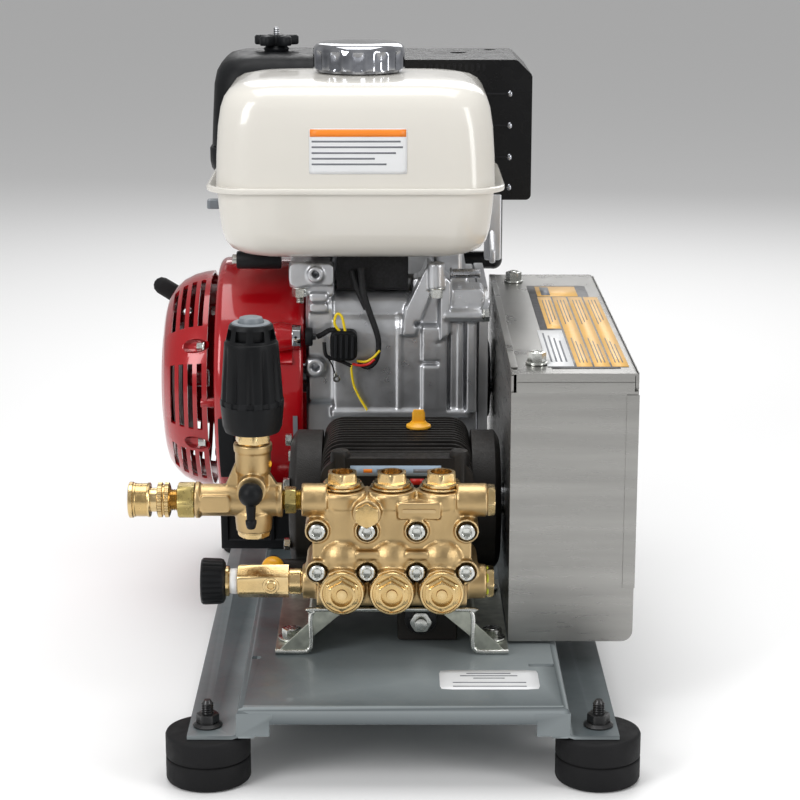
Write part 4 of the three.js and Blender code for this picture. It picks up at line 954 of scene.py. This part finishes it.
def shroud_outline(margin):
    """The shroud's outline, from its round side to its square one, drawn in by a margin."""
    radius, low, far, top = 114 - margin, -92 + margin, 150 - margin, 91 - margin
    start = pi - asin(low / radius)
    angles = [start + (pi / 3 - start) * i / 48 for i in range(49)]
    outline = [(radius * cos(a), radius * sin(a)) for a in angles]
    return outline + [(far - 8, top), (far - 2.4, top - 3), (far, top - 9), (far, low + 6), (far - 6, low)]


def ring_part(low, high, inner, outer, middle, half):
    """A curved bar round the crank axis: middle and half are angles in degrees, from +Y towards +Z."""
    angles = [radians(middle + half * (i / 6 - 1)) for i in range(13)]
    outline = [(outer * cos(a), outer * sin(a)) for a in angles]
    outline += [(inner * cos(a), inner * sin(a)) for a in reversed(angles)]
    return prism("x", outline, low, high)


def shroud():
    shell = prism("x", shroud_outline(0), -168, -86.3)
    holes = [prism("x", shroud_outline(2.5), -165.5, -80), rod("x", -170, -164, 95, sides=96)]
    thing = link("shroud_shell", mesh_of([shell], ENGINE), RED_PAINT)
    modify(thing, "BEVEL", width=7 * MM, segments=5, limit_method="ANGLE", angle_limit=radians(60))
    bake(thing)
    dress(thing, ENGINE, cutters=holes, node="fan_shroud", sharp=32)
    boss = skin("x", [(-122, 4), (-120, 9), (-114, 13), (-108, 13.6), (-100, 12), (-97, 11.4), (-97, 4)],
        (-103, 62), flat=True)
    ridge = ring_part(-158, -152, 113.6, 115.2, 158, 9)
    crease = prism("x", [(-92, 60), (-112, 40), (-103, 34), (-86, 48)], -128, -97)
    piece("shroud_boss", [boss, ridge, crease], RED_PAINT, ENGINE, bevel=0.8)
    collar = [skin("x", [(-97.4, 4), (-97.4, 10.6), (-96, 11), (-90, 10.4), (-89.4, 9.4), (-89.4, 4)],
        (-103, 62), 40, flat=True)]
    piece("switch_bezel", collar, CHROME, ENGINE)
    barrel = [rod("x", -85.7, -79.2, 8.4, (-103, 62), 36, 1.4),
        bar("x", -80, -76.2, -109.5, -96.5, 60.2, 63.8, 1.4)]
    piece("engine_stop_switch", barrel, BLACK_PLASTIC, ENGINE, "engine_switch", slot="chrome", bevel=0.3,
        node="engine_switch")
    strip = [ring_part(-151, -143, 115, 116.5, 206, 12)]
    piece("shroud_strip", strip, BLACK_PLASTIC, ENGINE, bevel=0.4)
    low_strip = [ring_part(-97, -93, 114.4, 115.4, 196, 12)]
    piece("shroud_side_strip", low_strip, GREY_LABEL, ENGINE)
    duct = [prism("x", [(-111, -92.4), (-105, -135), (-90, -135), (-90, -92.4)], -163.6, -90.4),
        ring_part(-164, -150, 115, 117.6, 201, 16)]
    windows = [block(x, x + 17, -116, -104.5, -126, -101) for x in (-157, -136, -115)]
    piece("shroud_foot", duct, BLACK_PLASTIC, ENGINE, bevel=1.2, cutters=windows, overlapping=True,
        node="shroud_base")
    heads = [solid for x in (-147, -106) for solid in hex_bolt("z", -92.2, (x, -101), 9, 1, 4, washer=6)]
    piece("shroud_foot_bolts", heads, ZINC, ENGINE)


def starter():
    loops = [(-218.8, 58), (-217.8, 69), (-215, 78), (-209, 86.5), (-202, 93), (-192, 98), (-182, 100.6),
        (-174.6, 101.5), (-174.6, 98.8), (-182, 98), (-192, 95.2), (-201, 90.2), (-207, 84.2), (-212, 77),
        (-215.2, 68), (-216.2, 58)]
    cup = skin("x", loops, sides=120)
    holes = []
    for middle, half in ((121, 18), (177, 17.5), (221, 12.5), (306, 14)):
        for i in range(4):
            holes.append(ring_part(-183.8 - 8.4 * i, -179.3 - 8.4 * i, 82, 108, middle, half))
    holes.append(rod("y", 60, 110, 4, (-206, 50), 24, 0.2))
    holes += [ring_part(-222, -215, 31, 50, 60 * i, 21) for i in range(6)]
    pockets, liner = [], []
    for degrees in (150, 203, 30):
        across, up = cos(radians(degrees)), sin(radians(degrees))
        centre = (-190, 103 * across, 103 * up)
        pockets.append(ball(centre, (17, 8, 8), 12, 24))
        liner.append(ball(centre, (17.8, 8.8, 8.8), 12, 24))
        bolt = hex_bolt("x", -177, (96.2 * across, 96.2 * up), 8.5, -1, 5.5, washer=5.4)
        piece(f"starter_bolt_{degrees}", bolt, ZINC, ENGINE)
    piece("starter_cover", [cup], RED_PAINT, ENGINE, cutters=holes + pockets, overlapping=True,
        node="recoil_cover", sharp=32)
    outside = skin("x", [(-230, 130), (-174.6, 130), (-174.6, 101.6), (-182, 100.7), (-192, 98.1),
        (-202, 93.1), (-209, 86.6), (-215, 78.1), (-217.8, 69.1), (-218.9, 58)], sides=120)
    piece("starter_cover_pockets", liner, RED_PAINT, ENGINE, cutters=pockets + [outside], overlapping=True)
    pins = []
    for degrees in (60, 180, 300):
        a = radians(degrees)
        pins.append(rod("x", -180.5, -168.3, 4.4, (98 * cos(a), 98 * sin(a)), 24))
    pins.append(rod("x", -218, -181, 8, edge=1))
    pins += [ring("x", -219.7, -218.4, 22, 25.5, sides=72, edge=0.6),
        ring("x", -219.7, -218.4, 53, 56, sides=96)]
    piece("starter_cover_feet", pins, RED_PAINT, ENGINE)
    reel = skin("x", [(-214, 8.8), (-214, 55), (-213, 56), (-211.4, 56), (-211, 46), (-201, 46),
        (-200.6, 56), (-199, 56), (-198, 55), (-198, 8.8)], sides=72, closed=True)
    coil = [skin("x", [(-210.8, 46)] + [(-210.8 + 0.7 * i, 52 + 1.2 * sin(i * 1.9))
        for i in range(1, 14)] + [(-201.2, 46)], closed=True)]
    piece("starter_reel", [reel], BLACK_PLASTIC, ENGINE, "recoil_reel", node="recoil_reel")
    piece("starter_rope_coil", coil, TAPE, ENGINE, "recoil_reel", slot="rope")
    grip = skin("x", [(-42, 0), (-41.2, 3.4), (-38.6, 6.8), (-34, 8.5), (-20, 8.6), (0, 7.6), (20, 8.6),
        (34, 8.5), (38.6, 6.8), (41.2, 3.4), (42, 0)], sides=40)
    grip = moved(turned(grip, "y", 32), -206, 108, 50)
    piece("starter_grip_handle", [grip], RUBBER, ENGINE, "starter_grip", node="starter_handle", sharp=60)
    rope = link("starter_cord", mesh_of([tube([(-206, 62, 50), (-206, 80, 50), (-206, 99.5, 50)],
        lambda t: 2.1 + 0.12 * sin(t * 90), 12, 20)], ENGINE), TAPE)
    rope.data.shade_smooth()
    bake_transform(rope)
    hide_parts("starter_rope")


# -------- engine: tank, air cleaner and muffler


def tank():
    def level(z, half_x, half_y, corner):
        return z, rounded(-40.3 - half_x, -40.3 + half_x, -48 - half_y, -48 + half_y, corner, 10)

    upper = [level(*row) for row in ((198, 121.6, 93, 32), (225, 121, 92.5, 33), (250, 119.4, 91.5, 34),
        (266, 117, 90, 35), (275, 114, 87.6, 36), (281, 109.6, 84, 36), (285, 103, 78.5, 36),
        (287.6, 92, 69, 35), (289, 76, 55, 34), (289.6, 50, 40, 30))]
    lower = [level(*row) for row in ((197, 121, 93, 32), (176, 119.4, 92, 32), (160, 117.4, 90.5, 32),
        (150, 114.4, 88, 31), (143.5, 109.5, 83.5, 30), (139, 102, 76, 28), (136, 92, 66, 26),
        (134.3, 78, 54, 24), (133.8, 60, 40, 22))]
    seam = [level(*row) for row in ((195.6, 127, 94.6, 33), (195.4, 129.4, 96.6, 34),
        (197.2, 130, 97, 34), (199.4, 129.8, 97, 34), (200.3, 128.6, 96, 34), (200, 127, 94.6, 33))]
    shell = piece("tank_shells", [loft("z", upper), loft("z", lower), loft("z", seam)], CREAM_PAINT,
        ENGINE, node="fuel_tank", sharp=50)
    neck = skin("z", [(286, 26), (286, 34), (288.4, 33.4), (289.6, 31), (289.7, 29), (295.8, 29),
        (295.8, 26)], (-38, -33), 64, closed=True)
    piece("tank_neck", [neck], GALVANISED, ENGINE)
    x, z = -37.5, 432
    decal("tank_label", shell, place(x, 340, z), FACING, (84, 39), WHITE_LABEL, corner=0.6)
    band = place(x, 340, z + 15.6)
    decal("tank_label_band", shell, band, FACING, (82.4, 6.4), ORANGE_LABEL, lift=0.4, cells=(12, 2))
    for i, (wide, height) in enumerate(((76, 8.4), (78, 3.6), (72, -1.4), (54, -6.2), (64, -11))):
        where = place(x - 41.2 + wide / 2 + 1.5, 340, z + height)
        decal(f"tank_label_bar_{i}", shell, where, FACING, (wide, 1.5), GREY_LABEL, lift=0.4, cells=(10, 1))

    def flute(radius, depth):
        return lambda angle: radius - depth * max(0.0, cos(12 * angle) + 0.15) ** 0.7 / 1.1

    cap = skin("z", [(290, 36), (290.8, 38.6), (292.6, 39.6), (293.6, flute(41.4, 2.3)),
        (295, flute(41.5, 2.8)), (306, flute(41.5, 2.8)), (308.4, flute(41.5, 2)), (309.8, 40.9),
        (312.4, 40.2), (314.6, 38), (315.8, 34), (316.2, 20), (316.3, 0)], (-38, -33), 144)
    piece("tank_filler_cap", [cap], CHROME, ENGINE, "fuel_cap", node="fuel_cap", sharp=30)


def cleaner():
    def level(z, margin, corner=22):
        return z, rounded(-182 + margin, -20 - margin, 52 + margin, 197 - margin, corner, 8)

    tray = loft("z", [level(*row) for row in ((182.3, 8, 16), (184, 5, 18), (190, 1.6, 20),
        (196, 0.4, 21), (208, 0.2, 22), (209.4, 1.4, 21))])
    piece("air_cleaner_tray", [tray], CLEANER_PLASTIC, ENGINE, node="air_cleaner_base", sharp=50)
    lid = loft("z", [level(*row) for row in ((210.2, 3, 20), (212, 2.4, 21), (240, 3.6, 22), (268, 5, 24),
        (280, 7.4, 26), (287, 11.4, 28), (291.6, 17, 30), (294.2, 25, 30), (295, 36, 28))])
    piece("air_cleaner_lid", [lid], CLEANER_PLASTIC, ENGINE, node="air_cleaner_cover", sharp=50)
    lobe = loft("z", [(5.6, rounded(6, 21, -4.6, 4.6, 4, 4)), (7, rounded(6, 22, -5.4, 5.4, 5, 4)),
        (13, rounded(6, 22, -5.4, 5.4, 5, 4)), (14.6, rounded(6, 20.6, -4.2, 4.2, 3.8, 4))])
    knob_parts = [turned(lobe, "z", 90 + 72 * i) for i in range(5)]
    knob_parts.append(skin("z", [(0, 11.5), (2, 12.4), (5, 9.4), (7, 10), (14, 9.6), (15.4, 8)], sides=40))
    origin = place(-120, 124, 295.3, ENGINE)
    piece("air_cleaner_knob", knob_parts, BLACK_PLASTIC, origin, "wing_nut", node="wing_nut", sharp=50)
    stud = [thread("z", 14, 21.4, 3), rod("z", 20.6, 22.4, 2)]
    piece("air_cleaner_stud", stud, STEEL, origin, "wing_nut")
    lever = [bar("z", 0, 3, -23, 4, -18, 2, 3), bar("z", 0.4, 8.8, -34, -21, -24, -10, 3)]
    piece("throttle_arm", lever, GREY_PLASTIC, place(-150, 74, 152, ENGINE), "throttle_lever", bevel=1,
        node="throttle_lever")


def silencer():
    outline = rounded(-8, 124, 158, 291, [6, 5, 3, 8], 5)
    outline = [(a, b) for a, b in outline if not (a > 110 and b > 276)]
    cut_corner = [(124, 275), (123, 277.5), (110.5, 289.8), (108, 291)]
    at_corner = next(i for i, (a, b) in enumerate(outline) if b > 280)
    outline = outline[:at_corner] + cut_corner + outline[at_corner:]
    shell = prism("y", outline, 72, 202)
    holes = [rod("z", 287, 295, 8, (56, 150), 40, 0.2), rod("z", 287, 295, 6, (88, 184), 32, 0.2)]
    piece("muffler_shell", [shell], BLACK_PAINT, ENGINE, bevel=3.2, segments=4, cutters=holes,
        node="muffler", sharp=40)
    ribs, bumps = [], []
    for z in (259, 229, 199, 170):
        ribs.append(bar("y", 71.2, 73, 6, 100, z - 1.1, z + 1.1, 1, 3))
        bumps.append(ball((103, 72, z), (2.6, 1.8, 3.2), 10, 20))
    piece("muffler_ribs", ribs, BLACK_PAINT, ENGINE, bevel=0.4)
    piece("muffler_bumps", bumps, CHROME, ENGINE)
    louvres = []
    for i in range(11):
        x = 22 + 5.6 * i
        louvres.append(bar("y", 70.8, 73, x - 1.5, x + 1.5, 280.5, 287.5, 1.2, 3))
    piece("muffler_louvres", louvres, BLACK_PAINT, ENGINE, bevel=0.4)
    sockets = [ring("z", 288, 290.2, 6, 9.6, (56, 150)), ring("z", 288, 290.2, 4, 7.2, (88, 184))]
    piece("muffler_hole_rims", sockets, BLACK_PAINT, ENGINE)
    pipe = [rod("z", 84, 160, 9, (92, 150)), rod("x", 56, 92, 9, (150, 86)),
        ball((92, 150, 86), (9.2, 9.2, 9.2), 12, 24)]
    piece("exhaust_pipe", pipe, BLACK_PAINT, ENGINE)


# -------- belt guard


def guard():
    notches = [block(84, 88.4, 132, 139, 271.5, 286), block(180.6, 185, 132, 139, 272.5, 286)]
    box = refined("guard_box", "belt_guard", STAINLESS, bevel=0.9, segments=3, cutters=notches)
    refined("guard_back", "guard_back_plate", STAINLESS, bevel=0.3)
    seams = [block(174.5, 184.4, 133.1, 134.1, 112, 270), block(89, 180.4, 133.2, 134.1, 271.4, 280),
        block(183.6, 184.5, 139.5, 550, 268, 286.4)]
    piece("guard_seams", seams, STAINLESS, bevel=0.35)
    lip = [block(84.4, 86, 150, 545, 268, 288.4), block(84.4, 90, 150, 545, 287.2, 288.6)]
    piece("guard_back_lip", lip, STAINLESS, bevel=0.4)
    for end, y in (("front", 167), ("rear", 513)):
        head = hex_bolt("z", 287.3, (106, y), 13, 1, 8, washer=8.8)
        head.append(ring("z", 295, 298, 1.6, 4.2, (106, y), 28))
        piece(f"guard_bolt_{end}", head, ZINC)
    guard_labels(box)


def guard_labels(box):
    def patch(name, x0, x1, y0, y1, material, lift, cells):
        spot = place((x0 + x1) / 2, (y0 + y1) / 2, 300)
        decal(name, box, spot, LYING, (x1 - x0, y1 - y0), material, lift=lift, cells=cells)

    patch("guard_label", 117, 183, 150, 493, BLACK_LABEL, 0.25, (4, 12))
    patch("guard_label_head", 124, 161, 441, 488, AMBER_LABEL, 0.4, (2, 2))
    patch("guard_label_sign", 128, 136, 446, 484, GREY_LABEL, 0.55, (1, 2))
    columns = ((123.5, 135.5, 300), (137, 149.5, 156), (151, 163.5, 156), (165, 178, 156))
    for i, (x0, x1, low) in enumerate(columns):
        patch(f"guard_label_column_{i}", x0, x1, low, 438, AMBER_LABEL, 0.4, (1, 8))
        for k in range(3):
            x = x0 + 3.2 + 2.9 * k
            patch(f"guard_label_line_{i}_{k}_far", x, x + 0.8, 318 + 9 * k, 424, GREY_LABEL, 0.55, (1, 3))
            if low < 300:
                patch(f"guard_label_line_{i}_{k}_near", x, x + 0.8, 170, 262 - 12 * k, GREY_LABEL, 0.55,
                    (1, 3))
    patch("guard_tag", 114, 135, 156, 292, WHITE_LABEL, 0.6, (2, 4))
    for k in range(4):
        patch(f"guard_tag_line_{k}", 117.5 + 4 * k, 118.9 + 4 * k, 172, 280 - 10 * k, GREY_LABEL, 0.75,
            (1, 4))


# -------- wiring


def wiring():
    first = tube([(-75, 385, 262), (-71, 384, 264), (-64, 384, 268), (-57, 385, 268)],
        lambda t: 2.3 + 0.3 * sin(90 * t), 12, 16)
    plug = [loft("y", [(378, rounded(-62, -41, 243, 266, 4, 4)),
        (380, rounded(-63.5, -39.5, 241, 268, 6, 4)), (392, rounded(-63.5, -39.5, 241, 268, 6, 4)),
        (394, rounded(-61, -42, 244, 265, 4, 4))])]
    for k in range(4):
        plug.append(bar("y", 376.6, 379, -60 + 5 * k, -57.4 + 5 * k, 244, 265, 1, 3))
    piece("wire_connector", plug, BLACK_PLASTIC, bevel=0.5, node="wiring_loom")
    up = tube([(-36, 398, 322), (-34, 394, 300), (-29, 391, 284), (-22.5, 388, 266), (-20.5, 387, 254),
        (-22.8, 387, 240), (-30, 387, 233.6), (-39, 387, 237)], lambda t: 3.4 - 1.6 * t, 12, 12)
    down = tube([(-69, 384, 257), (-68, 384, 247), (-65, 385, 243), (-57, 386, 240.5), (-45, 387, 235)],
        1.7, 10, 10)
    thin = tube([(-66, 385, 243), (-62, 386, 236), (-60, 388, 228)], 0.7, 8, 10)
    piece("black_cables", [first, up, down, thin], BLACK_CABLE_AND_SHADE, slot="black_plastic")
    behind = tube([(-44, 404, 318), (-38, 398, 300), (-31, 392, 286)], 3.2, 12, 8)
    piece("second_cable", [behind], BLACK_CABLE_AND_SHADE, slot="black_plastic")
    loop = tube([(-55, 383, 267), (-59.5, 381, 275), (-57.4, 380, 283.4), (-53, 380, 281),
        (-50, 382, 267)], 1.25, 10, 10)
    bend = tube([(-40, 386, 239.6), (-32, 386, 239), (-24.6, 385.4, 243.5), (-19.4, 385, 249.5)], 1.15,
        10, 10)
    drop = tube([(-44.6, 386, 236), (-44.8, 388, 230), (-43, 391, 217), (-38.6, 392, 206),
        (-31, 392, 193)], 1.1, 10, 10)
    piece("yellow_wires", [loop, bend, drop], YELLOW_WIRE)
    red = tube([(-44, 385.6, 237), (-37, 385, 235.8), (-29.6, 385, 237), (-24, 385, 241.4)], 1.2, 10, 10)
    piece("red_wire", [red], RED_WIRE)
    terminal = [ring("y", 389, 390.4, 1.5, 3.4, (-58, 222.4), 24, 0.3),
        rod("z", 224.5, 229, 1.5, (-59.6, 389.4), 16)]
    piece("ring_terminal", terminal, ZINC)


# -------- the one CAD piece that stays as it is


def carried():
    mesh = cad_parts["drive_belt"].data
    mesh.materials.clear()
    mesh.materials.append(BELT_CLOTH)


camera()
studio()
base()
manifold()
manifold_trim()
crankcase()
oil_cap()
pump_rotor()
knob()
unloader()
elbow()
coupler()
inlet()
engine_casting()
shroud()
starter()
tank()
cleaner()
silencer()
guard()
wiring()
carried()
